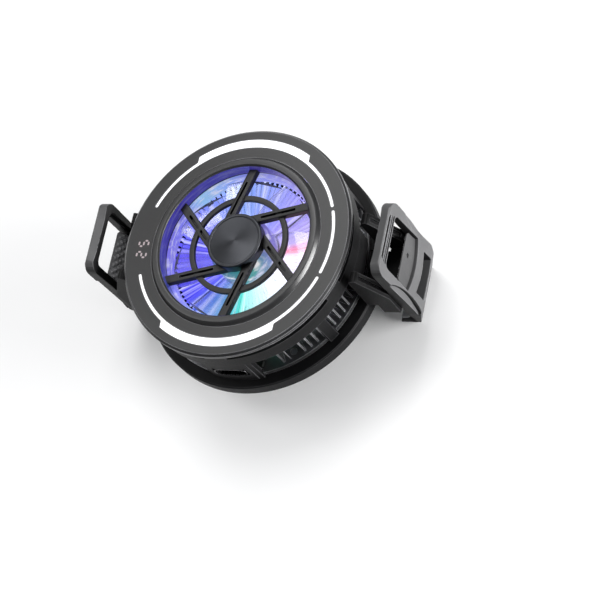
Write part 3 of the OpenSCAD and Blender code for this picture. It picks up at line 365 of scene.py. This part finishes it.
def shaped(name, verts, faces, paint, sharp=32.0):
    """An object from points in mm, smooth where its faces meet at less than the sharp angle."""
    data = bpy.data.meshes.new(name)
    data.from_pydata([[c * MM for c in v] for v in verts], [], faces)
    shape = bmesh.new()
    shape.from_mesh(data)
    bmesh.ops.recalc_face_normals(shape, faces=shape.faces)
    shape.to_mesh(data)
    shape.free()
    data.shade_smooth()
    data.set_sharp_from_angle(angle=math.radians(sharp))
    data.materials.append(paint)
    made = bpy.data.objects.new(name, data)
    bpy.context.scene.collection.objects.link(made)
    return made


def loft(sections, closed=False):
    """Walls between loops of points, with end faces unless the loops close on each other."""
    n = len(sections[0])
    count = len(sections)
    verts = [p for s in sections for p in s]
    faces = []
    for i in range(count if closed else count - 1):
        j = (i + 1) % count
        for k in range(n):
            m = (k + 1) % n
            faces.append((i * n + k, j * n + k, j * n + m, i * n + m))
    if not closed:
        faces.append(tuple(range(n)))
        faces.append(tuple(range(count * n - 1, (count - 1) * n - 1, -1)))
    return verts, faces


def turned(profile, steps=160):
    """Walls of a closed (r, z) profile turned about Z; every r stays above 0."""
    angles = [TURN * k / steps for k in range(steps)]
    return loft([[(r * math.cos(a), r * math.sin(a), z) for r, z in profile] for a in angles], closed=True)


def joined(parts):
    """Several (verts, faces) as one."""
    verts, faces = [], []
    for v, f in parts:
        start = len(verts)
        verts += v
        faces += [tuple(i + start for i in face) for face in f]
    return verts, faces


def arc(centre, radius, a0, a1, count):
    """Points on an arc in a plane, angles in degrees."""
    angles = [math.radians(a0 + (a1 - a0) * k / count) for k in range(count + 1)]
    return [(centre[0] + radius * math.cos(a), centre[1] + radius * math.sin(a)) for a in angles]


def filleted(points, radius):
    """A closed profile with its corners rounded; radius is one number, or one for each corner."""
    steps, straight = 4, 1.55
    done = []
    for k, p in enumerate(points):
        r = radius[k] if isinstance(radius, list) else radius
        before, corner, after = Vector(points[k - 1]), Vector(p), Vector(points[(k + 1) % len(points)])
        back, on = (before - corner).normalized(), (after - corner).normalized()
        half = back.angle(on) / 2
        if r <= 0 or half > straight:
            done.append(tuple(corner))
            continue
        cut = min(r / math.tan(half), (before - corner).length * 0.48, (after - corner).length * 0.48)
        centre = corner + (back + on).normalized() * (cut / math.cos(half))
        start, end = corner + back * cut - centre, corner + on * cut - centre
        for i in range(steps + 1):
            step = start.normalized().slerp(end.normalized(), i / steps)
            done.append(tuple(centre + step * start.length))
    return done


def tube(path, radius, sides):
    """A round wire along a path of points."""
    sections = []
    for i, p in enumerate(path):
        along = (Vector(path[min(i + 1, len(path) - 1)]) - Vector(path[max(i - 1, 0)])).normalized()
        side = along.cross(Vector((0, 0, 1)) if abs(along.z) < 0.9 else Vector((0, 1, 0))).normalized()
        up = along.cross(side)
        turns = [TURN * k / sides for k in range(sides)]
        sections.append([tuple(Vector(p) + radius * (side * math.cos(a) + up * math.sin(a))) for a in turns])
    return loft(sections)


def block(low, high):
    """A box between two corners."""
    (x0, y0, z0), (x1, y1, z1) = low, high
    return loft([[(x, y0, z0), (x, y1, z0), (x, y1, z1), (x, y0, z1)] for x in (x0, x1)])


def settled(piece):
    """Applies a piece's modifiers to its mesh."""
    ready = piece.evaluated_get(bpy.context.evaluated_depsgraph_get())
    made = bpy.data.meshes.new_from_object(ready)
    piece.modifiers.clear()
    piece.data = made


def rounded_copy(name, source, paint, voxel, passes):
    """A solid's mesh in mm, resurfaced in small even faces and relaxed, so that every edge is round."""
    piece = bpy.data.objects.new(name, nodes[source].data.copy())
    bpy.context.scene.collection.objects.link(piece)
    piece.data.transform(Matrix.Scale(1 / MM, 4))
    piece.data.materials.clear()
    piece.data.materials.append(paint)
    weld = piece.modifiers.new("weld", "WELD")
    weld.merge_threshold = WELD_MM
    skin = piece.modifiers.new("skin", "REMESH")
    skin.mode = "VOXEL"
    skin.voxel_size = voxel
    skin.use_smooth_shade = True
    relax = piece.modifiers.new("relax", "SMOOTH")
    relax.factor = 0.5
    relax.iterations = passes
    settled(piece)
    return piece


def keep(name, paint, edge):
    """Keeps a solid, with its material and, where edge is set, with small rounded edges (mm)."""
    node = nodes[name]
    node.data.materials.clear()
    node.data.materials.append(paint)
    if edge:
        weld = node.modifiers.new("weld", "WELD")
        weld.merge_threshold = WELD_MM * MM
        flat = node.modifiers.new("flat", "DECIMATE")
        flat.decimate_type = "DISSOLVE"
        flat.angle_limit = math.radians(0.6)
        round_off = node.modifiers.new("edge", "BEVEL")
        round_off.width = edge * MM
        round_off.segments = 2
        round_off.limit_method = "ANGLE"
        round_off.angle_limit = math.radians(30)
        node.modifiers.new("normals", "WEIGHTED_NORMAL")


# Solids that keep their shape
for name, paint, edge in [
        ("cold_plate", aluminium, 0.0), ("thermo_module", ceramic, 0.0), ("base_cover", black_plastic, 0.12),
        ("base_screws", steel, 0.0), ("heatsink", aluminium, 0.0), ("mid_housing", black_plastic, 0.12),
        ("control_board", board, 0.0), ("usb_socket", socket_steel, 0.0), ("led_board", board, 0.0),
        ("leds", lamp, 0.0), ("motor_bracket", black_plastic, 0.0), ("bearing_sleeve", bronze, 0.0),
        ("stator_core", laminate, 0.0), ("stator_coils", copper, 0.0), ("rotor_shaft", steel, 0.0),
        ("rotor_magnet", magnet, 0.0), ("front_bezel", bezel_plastic, 0.08), ("light_strips", diffuser, 0.0),
        ("display_module", black_plastic, 0.0), ("pinion_pin", steel, 0.0), ("pinion", acetal, 0.0),
        ("right_arm", black_plastic, 0.12), ("left_arm", black_plastic, 0.12)]:
    keep(name, paint, edge)


# Front

def collar():
    """The ring round the air opening, with a rolled top edge."""
    seat, rise, roll, lip = bezel_foot + HAIR, 0.1, 0.7, 0.4
    rounds = [0.1, 0.1, 0, 0.05, 0.25, 0.4, 0.3, 0.3]
    profile = filleted([
        (throat_r, guard_foot), (sleeve_r, guard_foot), (sleeve_r, seat), (collar_r, seat),
        (collar_r, face_z + rise), (collar_r - roll, collar_top), (throat_r + lip, collar_top),
        (throat_r, collar_top - lip)], rounds)
    made = shaped("grille_collar", *turned(profile, 200), collar_plastic)
    place(made, "housing", ["grille"])


def spoke(turn, offset, wide, tall):
    """One spoke of the guard, laid beside the axis by its offset, with a long groove in its top."""
    soft, groove, lean, deep, lap = 0.18, 0.3, 0.04, 1.2, 0.2
    groove_near, groove_far, slope, tail = 6.75, 15.1, 0.4, 2.3
    foot, top = guard_foot, guard_foot + tall
    reach = math.sqrt((throat_r + lap) ** 2 - offset ** 2)
    shoulder = arc((soft - wide / 2, top - soft), soft, 180, 90, 3)
    sections = []
    for along, sunk in [(reach, 0), (groove_far + slope, 0), (groove_far, deep), (groove_near, deep),
                        (groove_near - slope, 0), (tail, 0)]:
        rising = [(-wide / 2, foot)] + shoulder + [(-groove - lean, top), (-groove, top - sunk)]
        outline = rising + [(-x, z) for x, z in rising[::-1]]
        sections.append([((offset + x) * math.cos(turn) + along * math.sin(turn),
                          (offset + x) * math.sin(turn) - along * math.cos(turn), z) for x, z in outline])
    return loft(sections)


def guard():
    """Six slanted spokes with a long groove each, a middle ring and the cap's seat."""
    count, offset, wide, tall, phase = 6, 5.5, 2.15, 1.55, 30.0
    inner, outer, ring_tall, ring_edge = 11.6, 13.0, 1.0, 0.16
    seat_inset, seat_sunk = 0.75, 0.95
    seat_r, seat_top, foot = cap_r - seat_inset, cap_top - seat_sunk, guard_foot
    ring = [(inner, foot), (outer, foot), (outer, foot + ring_tall), (inner, foot + ring_tall)]
    seat = [(AXIS, foot), (seat_r, foot), (seat_r, seat_top), (AXIS, seat_top)]
    parts = [turned(filleted(ring, ring_edge)), turned(seat, 96)]
    lean = math.acos(offset / throat_r)
    for k in range(count):
        parts.append(spoke(math.radians(phase) + lean + TURN * k / count, offset, wide, tall))
    made = shaped("grille_guard", *joined(parts), guard_plastic)
    place(made, "housing", ["grille"])


def cap():
    """A spun cup with a raised rim and a faintly domed, bare face."""
    lip, edge, rim_wide, sunk, dome = 0.35, 0.15, 0.9, 0.18, 0.1
    wall, crown, steps = 0.65, 0.9, 10
    rim = [(cap_r, cap_foot)] + arc((cap_r - lip, cap_top - lip), lip, 0, 90, 6)
    rim += arc((cap_r - 2 * lip, cap_top - edge), edge, 90, 180, 3)
    face = []
    for k in range(steps + 1):
        out = 1 - k / steps
        face.append(((cap_r - rim_wide) * out + AXIS, cap_top - sunk + dome * (1 - out ** 2)))
    cup = [(AXIS, cap_top - crown), (cap_r - wall, cap_top - crown), (cap_r - wall, cap_foot)]
    made = shaped("cap_shell", *turned(rim + face + cup), cap_metal)
    place(made, "housing", ["hub_cap"])


def blade(turn, root, foot):
    """One cambered, swept blade from the hub to the tip; turn is in degrees.

    It is thickest near the middle, and thinner along its upper edge than along its lower one.
    """
    steps, lift, rise, camber = 12, 0.45, 3.6, 0.12
    chord, narrowing, sweep = 46, 2, 10
    thin, swell, nose, run = 0.08, 0.1, 0.08, 0.9
    sections = []
    for i in range(steps + 1):
        share = i / steps
        r = root + (tip_r - root) * share
        start = turn - chord / 2 - sweep * share ** 1.5
        upper, lower = [], []
        for k in range(steps + 1):
            s = k / steps
            a = math.radians(start + (chord - narrowing * share) * s)
            z = foot + lift + rise * (s + camber * math.sin(math.pi * s))
            half = thin + swell * math.sin(math.pi * min(1.0, s * run + nose)) ** 0.7
            upper.append((r * math.cos(a), r * math.sin(a), z + half))
            lower.append((r * math.cos(a), r * math.sin(a), z - half))
        sections.append(upper + lower[::-1])
    return loft(sections)


def fan_wheel():
    """A hollow hub with a rounded shoulder and seven blades."""
    count, wall, crown, shoulder, shaft, sunk, skirt = 7, 0.7, 0.9, 0.6, 0.8, 0.3, 0.2
    outer, foot = hub_r + wall, hub_foot - skirt
    profile = [(hub_r, foot), (outer, foot)]
    profile += arc((outer - shoulder, wheel_top - shoulder), shoulder, 0, 90, 6)
    profile += [(shaft, wheel_top), (shaft, wheel_top - crown), (hub_r, wheel_top - crown)]
    parts = [turned(profile, 120)]
    parts += [blade(360 / count * k, outer - sunk, foot) for k in range(count)]
    made = shaped("fan_wheel", *joined(parts), clear_plastic)
    # The hub glows with painted lamp light
    made.data.materials.append(hub_frost_painted_glow)
    for face in made.data.polygons:
        face.material_index = 1 if face.center.xy.length < (outer + HAIR) * MM else 0
    place(made, "rotor", ["impeller"])


def light_ring():
    """The milky ring, fluted on its inner face, so the lamps show as bright and dark ticks."""
    flutes, flute, chamfer, lean = 180, 0.1, 0.15, 0.12
    loops = []
    for k in range(2 * flutes):
        a = TURN * k / (2 * flutes)
        near = ring_r - ring_wall + (0 if k % 2 else flute)
        loops.append([(r * math.cos(a), r * math.sin(a), z) for r, z in [
            (near, ring_foot), (ring_r - chamfer, ring_foot), (ring_r, ring_foot + chamfer),
            (ring_r, ring_top - chamfer), (ring_r - chamfer, ring_top), (near + lean, ring_top),
            (near, ring_top - chamfer)]])
    made = shaped("light_ring", *loft(loops, closed=True), ring_acrylic)
    place(made, "housing", ["light_guide"])


def painted_throat_glow():
    """Skins on the throat's wall that glow with painted lamp light: one above the light ring and one below
    it.
    """
    skin, below_top, over_fins, below_ring = 0.04, 0.6, 0.45, 0.02
    near, far = throat_r - skin, throat_r + skin
    for name, foot, top, paint in [
            ("throat_skin", guard_foot, collar_top - below_top, throat_wall_painted_glow),
            ("throat_foot", fin_top + over_fins, ring_foot - below_ring, painted_lamp_glow)]:
        profile = [(near, foot), (far, foot), (far, top), (near, top)]
        place(shaped(name, *turned(profile, 200), paint), "housing", [])


def spun(parts, turn):
    """A (verts, faces) turned about the fan's axis."""
    c, s = math.cos(turn), math.sin(turn)
    verts, faces = parts
    return [(x * c - y * s, x * s + y * c, z) for x, y, z in verts], faces


def light_vanes():
    """Thin radial vanes between the fan and the fins, which leave narrow gaps for the air; their glow is
    painted lamp light.

    Covers that glow with the same painted lamp light lie on the bracket's arms, whose top is 1.2 mm over the
    fins.
    """
    count, share, taper, low, high, hub_gap = 90, 0.88, 0.7, 0.04, 0.34, 0.4
    foot, top = fin_top + low, fin_top + high
    near, far = hub_r + hub_gap, throat_r
    half = TURN / count * share / 2
    parts = []
    for k in range(count):
        sections = [[(r * math.cos(a), r * math.sin(a), z) for a, z in [
            (-half, foot), (half, foot), (half * taper, top), (-half * taper, top)]] for r in (near, far)]
        parts.append(spun(loft(sections), TURN * k / count))
    arms, wide, thick, cover = 4, 1.9, 0.12, fin_top + 1.22
    for k in range(arms):
        strip = block((near, -wide / 2, cover), (far - ring_wall, wide / 2, cover + thick))
        parts.append(spun(strip, TURN * (k + 0.5) / arms))
    place(shaped("light_vanes", *joined(parts), painted_lamp_glow), "housing", [])


def ring_comb():
    """Dark teeth under the light ring, which cut its lower edge into ticks."""
    count, half, tall, lap, off_tip, off_wall = 84, 0.13, 0.9, 0.02, 0.3, 0.1
    low = (tip_r + off_tip, -half, ring_foot - tall)
    high = (ring_r - off_wall, half, ring_foot + lap)
    parts = [spun(block(low, high), TURN * k / count) for k in range(count)]
    place(shaped("ring_comb", *joined(parts), shade_black), "housing", [])


def display_lens():
    """The smoked lens in the bezel's window, with a thin rim that laps over the seam and hides it."""
    low, high = span("display_window")
    outer = -low.x
    half = math.asin(high.y / outer)
    inner = -high.x / math.cos(half)
    step, top, end_share = face_z - lens_film, face_z + lens_film, 1.5
    sections = []
    for lap, z in [(HAIR, low.z), (HAIR, step), (EDGE_WEAR_AND_HIGHLIGHT_MM, step), (EDGE_WEAR_AND_HIGHLIGHT_MM, top)]:
        turn = math.degrees(half + end_share * lap / outer)
        outline = arc((0, 0), outer + lap, 180 - turn, 180 + turn, 16)
        outline += arc((0, 0), inner - lap, 180 + turn, 180 - turn, 16)
        sections.append([(x, y, z) for x, y in outline])
    place(shaped("display_lens", *loft(sections), smoked_lens), "housing", ["display_window"])


# Segments of a digit: place across and up as shares of its half size, and whether it stands upright
SEGMENTS = {"top": (0, 1, 0), "upper_left": (-1, 0.5, 1), "upper_right": (1, 0.5, 1), "middle": (0, 0, 0),
            "lower_left": (-1, -0.5, 1), "lower_right": (1, -0.5, 1), "foot": (0, -1, 0)}
DIGITS = [("top", "upper_right", "middle", "lower_left", "foot"),
          ("top", "upper_left", "middle", "lower_right", "foot")]


def lit_segments():
    """Two digits of seven segments, as their light shows on the smoked lens."""
    low, high = span("display_digits")
    foot, thick = face_z + lens_film, 0.015
    both = high.y - low.y
    tall, wide = high.x - low.x, 0.39 * both
    stroke, gap = 0.15 * tall, 0.09 * tall
    middle_x, middle_y = (low.x + high.x) / 2, (low.y + high.y) / 2
    parts = []
    for k, shown in enumerate(DIGITS):
        for across, up, upright in [SEGMENTS[name] for name in shown]:
            x = middle_x - up * (tall - stroke) / 2
            y = middle_y + (k - 0.5) * (both - wide) + across * (wide - stroke) / 2
            half_x, half_y = stroke / 2, (wide - stroke) / 2 - gap
            if upright:
                half_x, half_y = (tall - stroke) / 4 - gap, stroke / 2
            corners = [(x + i * half_x, y + j * half_y) for i, j in [(-1, -1), (1, -1), (1, 1), (-1, 1)]]
            outline = filleted(corners, 0.4 * stroke)
            parts.append(loft([[(u, v, z) for u, v in outline] for z in (foot, foot + thick)]))
    place(shaped("lit_segments", *joined(parts), digit), "housing", ["display_digits"])


# Cooled face and socket

def contact_pad():
    """A thin soft disc with a rolled edge."""
    half = (pad_top - pad_foot) / 2
    profile = arc((pad_r - half, pad_foot + half), half, -90, 90, 8)
    profile += [(pad_r / 2, pad_top), (AXIS, pad_top), (AXIS, pad_foot), (pad_r / 2, pad_foot)]
    place(shaped("contact_pad", *turned(profile), pad_silicone), "housing", ["thermal_pad"])


def socket_contacts():
    """Two rows of twelve contact fingers on the socket's tongue."""
    low, high = span("usb_socket")
    middle = (low.z + high.z) / 2
    count, pitch, wide, thick, length = 12, 0.5, 0.28, 0.04, 3.2
    tongue, tongue_length, tongue_end = 0.7, 4.4, 0.8
    start = high.y - tongue_end - tongue_length
    parts = []
    for k in range(count):
        x = (k - (count - 1) / 2) * pitch
        for foot in (middle + tongue / 2, middle - tongue / 2 - thick):
            parts.append(block((x - wide / 2, start, foot), (x + wide / 2, start + length, foot + thick)))
    place(shaped("socket_contacts", *joined(parts), contact_gold), "housing", [])


# Clamp

def ripple(x):
    """A triangle wave between 0 and 1."""
    return abs((x % 1.0) * 2 - 1)


def outer_reach(heights, values, at):
    """Largest value near each height, read off at every point."""
    near, top_gap, step = 0.3, 0.2, 0.4
    levels = np.arange(heights.min() + near, heights.max() - top_gap, step)
    return np.interp(at, levels, [values[np.abs(heights - h) < near].max() for h in levels])


def grip_lines(top):
    """Height and half length of each grip line on a jaw's outer face."""
    count, first, pitch, half, shorter = 3, 2.75, 0.95, 6.2, 0.35
    return [(top - first + pitch * k, half - shorter * k) for k in range(count)]


# The hollowed lens along a jaw's near and far edge: feet, head, greatest width and the far one's depth
near_lens_foot, far_lens_foot, lens_head = -3.6, 1.6, 15.0
lens_w, far_lens_deep = 1.8, 0.3
# Fall of a jaw's top face toward the fan, per mm, and the length over which it fades out at the corners
top_slope, corner_fade = 0.3, 5.0


def lens_width(share):
    """Width of the lens at a share of its length."""
    return lens_w * np.sin(math.pi * share) ** 0.7


def jaw(tag, side, body):
    """The jaw with rounded edges, its grip lines and the hollowed lens along each edge of its outer face."""
    made = rounded_copy(tag + "_jaw_shell", tag + "_jaw", jaw_plastic, voxel=0.12, passes=8)
    points = np.empty(3 * len(made.data.vertices))
    made.data.vertices.foreach_get("co", points)
    points = points.reshape(-1, 3)
    out, y, z = points[:, 0] * side, points[:, 1], points[:, 2]
    low, high = span(tag + "_jaw")
    middle = (low.y + high.y) / 2
    off = np.abs(y - middle)
    face = outer_reach(z, out, z)
    half = outer_reach(z, off, z)
    levels = np.arange(low.z + 1, high.z, 0.25)
    reaches = [outer_reach(z, values, levels) for values in (out, off)]
    # Lines of painted shade in the grip grooves and along the near lens
    jaw_shade_lines(tag, side, body, middle, high.z, levels, *reaches)

    line_deep, line_half = 0.35, 0.25
    for line_z, length in grip_lines(high.z):
        dip = line_deep * np.clip(1 - ((z - line_z) / line_half) ** 2, 0, 1)
        out = np.where((off < length) & (out > face - 1), np.minimum(out, face - dip), out)

    # The near lens deepens toward its foot and its outer border, the far one is even
    least, foot_deep, border_deep, least_wide = 0.2, 0.35, 0.5, 0.01
    near = y < middle
    foot = np.where(near, near_lens_foot, far_lens_foot)
    share = np.clip((z - foot) / (lens_head - foot), 0, 1)
    wide = lens_width(share)
    inward = half - off
    near_deep = least + foot_deep * (1 - share) + border_deep * (1 - inward / np.maximum(wide, least_wide))
    hollow = face - np.where(near, near_deep, far_lens_deep)
    out = np.where((inward < wide) & (out > face - 2), np.minimum(out, hollow), out)

    # The far edge draws in toward its foot
    draw, draw_head, draw_length = 1.1, 2.5, 5
    drawn_in = np.where(near, 0, draw * np.clip((draw_head - z) / draw_length, 0, 1) ** 2)
    points[:, 1] = np.where(inward < drawn_in, middle + half - drawn_in, y)

    points[:, 0] = out * side
    fade = np.clip((high.y - middle - off) / corner_fade, 0, 1)
    points[:, 2] = np.minimum(z, high.z - top_slope * fade * (face - out))
    made.data.vertices.foreach_set("co", (points * MM).ravel())
    thin = made.modifiers.new("thin", "DECIMATE")
    thin.ratio = 0.25
    settled(made)
    made.modifiers.new("normals", "WEIGHTED_NORMAL")
    place(made, body, [tag + "_jaw"])


def jaw_shade_lines(tag, side, body, middle, top, levels, face, half):
    """Painted shade: dark lines laid in the grip grooves and along the inner border of the near lens, where
    shadow falls.
    """
    sunk, deep, thick, lap = 0.04, 0.5, 0.2, 0.05
    line_least, line_swell, steps = 0.12, 0.7, 48
    parts = []
    for z, length in grip_lines(top):
        at = np.interp(z, levels, face)
        low = (side * (at - deep), middle - length, z - thick)
        high = (side * (at - sunk), middle + length, z + thick)
        parts.append(block(low, high))
    sections = []
    for share in np.linspace(0.04, 0.96, steps):
        z = near_lens_foot + (lens_head - near_lens_foot) * share
        outer = np.interp(z, levels, face) - sunk
        inner = outer + sunk - 2 * deep
        border = middle - np.interp(z, levels, half) + lens_width(share)
        fuller = (1 - share) ** 1.5 * math.sin(math.pi * min(1.0, 3 * share) / 2)
        line = line_least + line_swell * fuller
        sections.append([(side * x, y, z) for x, y in [
            (outer, border + lap), (outer, border - line), (inner, border - line), (inner, border + lap)]])
    parts.append(loft(sections))
    place(shaped(tag + "_jaw_shade_lines", *joined(parts), shade_black), body, [])


def finger_rest(tag, side, body):
    """A wedge of rubber on the window's sagging sill, knurled inside, with a small blind hole outside."""
    low, high = span(tag + "_finger_pad")
    front, middle = max(high.x, -low.x), (low.y + high.y) / 2
    sag, thick, taper, knurl, pitch = 1.6, (2.2, 1.0), 0.4, 0.4, 1.9
    hole_y, hole_z, hole_r, hole_deep = 1.2, 8.9, 0.5, 0.7
    rolled_back, rolled_front, corner_start, corner_cut = 0.22, 0.12, 0.85, 0.6
    foot_half = (high.y - low.y) / 2 - HAIR
    rows, cols = 44, 88
    sheets = [[], []]
    for i in range(rows + 1):
        v = i / rows
        half = foot_half - taper * v - corner_cut * max(0.0, v - corner_start) / (1 - corner_start)
        for j in range(cols + 1):
            u = 2 * j / cols - 1
            y = half * u
            foot = low.z + sag * (y / foot_half) ** 2
            z = foot + (high.z - foot) * v
            # 1 over the face, and down to 0 along its sides, its top and its foot
            inside = min(1.0, (1 - abs(u)) * 12, (1 - v) * 4, v * 9)
            bump = knurl * ripple((y + z) / pitch) * ripple((y - z) / pitch) * inside
            back = thick[0] + (thick[1] - thick[0]) * v - knurl - rolled_back * (1 - inside) + bump
            in_hole = math.hypot(y - hole_y, z - hole_z) < hole_r
            sunk = hole_deep if in_hole else rolled_front * (1 - inside)
            sheets[0].append((side * (front - back), middle + y, z))
            sheets[1].append((side * (front - sunk), middle + y, z))

    def corner(sheet, i, j):
        return (sheet * (rows + 1) + i) * (cols + 1) + j

    faces = []
    for i in range(rows):
        for j in range(cols):
            for sheet in (0, 1):
                faces.append((corner(sheet, i, j), corner(sheet, i, j + 1), corner(sheet, i + 1, j + 1),
                              corner(sheet, i + 1, j)))
    edge = [(0, j) for j in range(cols)] + [(i, cols) for i in range(rows)]
    edge += [(rows, j) for j in range(cols, 0, -1)] + [(i, 0) for i in range(rows, 0, -1)]
    for k, (i, j) in enumerate(edge):
        m, n = edge[(k + 1) % len(edge)]
        faces.append((corner(0, i, j), corner(1, i, j), corner(1, m, n), corner(0, m, n)))
    made = shaped(tag + "_finger_rest", sheets[0] + sheets[1], faces, dark_rubber, sharp=50)
    # The knurled face is painted pale, as light on a face that lies in shade
    made.data.materials.append(knurl_rubber_painted_lit)
    for face in made.data.polygons:
        face.material_index = 1 if max(face.vertices) < len(sheets[0]) else 0
    place(made, body, [tag + "_finger_pad"])


def jaw_lining(tag, side, body):
    """The soft lining of a jaw and its lip, with ribs across the face that meets a held edge."""
    low, high = span(tag + "_grip_liner")
    wall, tip = max(high.x, -low.x), min(abs(low.x), abs(high.x))
    middle, half = (low.y + high.y) / 2, (high.y - low.y) / 2
    foot, top = low.z, high.z
    thick, lip, rib_depth, rib_pitch, steps = 2.0, 0.8, 0.22, 1.4, 132
    end_length, end_round, pale_height = 0.5, 0.35, 1.6
    front = wall - thick
    sections = []
    for k in range(steps + 1):
        y = half * (2 * k / steps - 1)
        end = min(1.0, (half - abs(y)) / end_length)
        shy = end_round * (1 - math.sqrt(max(0.0, 1 - (1 - end) ** 2)))
        rib = rib_depth * (0.5 - 0.5 * math.cos(TURN * y / rib_pitch)) * end
        ribbed = front + rib + shy
        # Round the section: foot, back, rolled top, ribbed face, the hollow above the lip and the lip's end
        sections.append([(side * x, middle + y, z) for x, z in [
            (tip + shy, foot), (wall, foot), (wall, top - shy), (front + 0.9, top - 0.08 - shy),
            (ribbed + 0.15, top - 0.4 - shy), (ribbed, top - 0.8 - shy), (ribbed, foot + 5.0),
            (ribbed, foot + 1.5), (front - 0.15 + shy, foot + lip + 0.25), (front - 0.5, foot + lip - shy),
            (tip + 0.2 + shy, foot + lip - 0.1 - shy), (tip + shy, foot + lip - 0.3 - shy)]])
    made = shaped(tag + "_jaw_lining", *loft(sections), slot_shade_silicone, sharp=45)
    # Above the pale lip, the lining is painted near black as the shade behind the slot
    made.data.materials.append(grip_silicone)
    for face in made.data.polygons:
        face.material_index = 1 if face.center.z < (foot + pale_height) * MM else 0
    place(made, body, [tag + "_grip_liner"])


def spring_half(tag, side, body):
    """Half of the tension spring, stretched between the housing's middle and this side's lug."""
    low, high = span("return_spring")
    axis_y, axis_z, wire = (low.y + high.y) / 2, (low.z + high.z) / 2, 0.2
    coil = (high.z - low.z) / 2 - wire
    turns, per_turn, reach, end = 9, 28, 10.15, high.x - wire
    path = []
    for k in range(turns * per_turn + 1):
        share = k / (turns * per_turn)
        r = coil * min(1.0, (1 - share) * turns * 2)
        a = TURN * turns * share
        path.append((side * reach * share, axis_y + r * math.cos(a), axis_z + r * math.sin(a)))
    path.append((side * end, axis_y, axis_z))
    made = shaped(tag + "_spring", *tube(path, wire, 10), spring_steel, sharp=60)
    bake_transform(made)
    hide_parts("return_spring")


collar()
guard()
cap()
fan_wheel()
light_ring()
painted_throat_glow()
light_vanes()
ring_comb()
display_lens()
lit_segments()
contact_pad()
socket_contacts()
for tag, side in [("right", 1), ("left", -1)]:
    for make in (jaw, finger_rest, jaw_lining, spring_half):
        make(tag, side, tag + "_slider")


# Floor, light and camera

# What the lights are aimed at: the middle of the housing
LIGHT_AIM = (0, 0, 0.008)


def softbox(name, at, width, height, power):
    """A soft rectangular light aimed at the part."""
    data = bpy.data.lights.new(name, "AREA")
    data.shape = "RECTANGLE"
    data.size = width
    data.size_y = height
    data.energy = power
    made = bpy.data.objects.new(name, data)
    bpy.context.scene.collection.objects.link(made)
    made.location = at
    made.rotation_euler = (Vector(LIGHT_AIM) - Vector(at)).to_track_quat("-Z", "Y").to_euler()


# Paper sweep, rolled matt: an almost white ground with a faint tooth
paper = grained("paper_rolled_matt_white", "#f3f3f3", "#f6f6f6", (0.85, 0.95), 0.6, 0.01, patch=60.0)
floor_z, floor_half = cad_box[0][2], 1.6
corners = [(x * floor_half, y * floor_half, floor_z) for x, y in [(-1, -1), (1, -1), (1, 1), (-1, 1)]]
data = bpy.data.meshes.new("floor")
data.from_pydata(corners, [], [(0, 1, 2, 3)])
data.materials.append(paper)
floor = bpy.data.objects.new("floor", data)
bpy.context.scene.collection.objects.link(floor)

softbox("key_light", (-0.1, 0.4, 0.6), 0.45, 0.45, 3.3)
softbox("fill_light", (-0.45, 0.045, 0.6), 0.3, 0.3, 1.2)
softbox("side_light", (0.56, -0.02, 0.085), 0.34, 0.14, 7.6)

world = bpy.data.worlds.new("studio")
world.use_nodes = True
sky = world.node_tree.nodes["Background"]
sky.inputs["Color"].default_value = linear("#f4f5f7")
sky.inputs["Strength"].default_value = 0.4
bpy.context.scene.world = world
bpy.context.scene.view_settings.view_transform = "Standard"

# The camera stands where the photograph was taken from: its axes and its place
lens = bpy.data.cameras.new("camera")
lens.sensor_width = 36.0
lens.lens = 137.62
lens.clip_start = 0.02
camera = bpy.data.objects.new("camera", lens)
bpy.context.scene.collection.objects.link(camera)
right, up, back = (0.8961, 0.1948, -0.3989), (-0.0165, 0.9126, 0.4086), (0.4436, -0.3595, 0.8209)
stand = (0.25777, -0.20723, 0.45992)
camera.matrix_world = Matrix([[right[k], up[k], back[k], stand[k]] for k in range(3)] + [[0, 0, 0, 1]])
bpy.context.scene.camera = camera
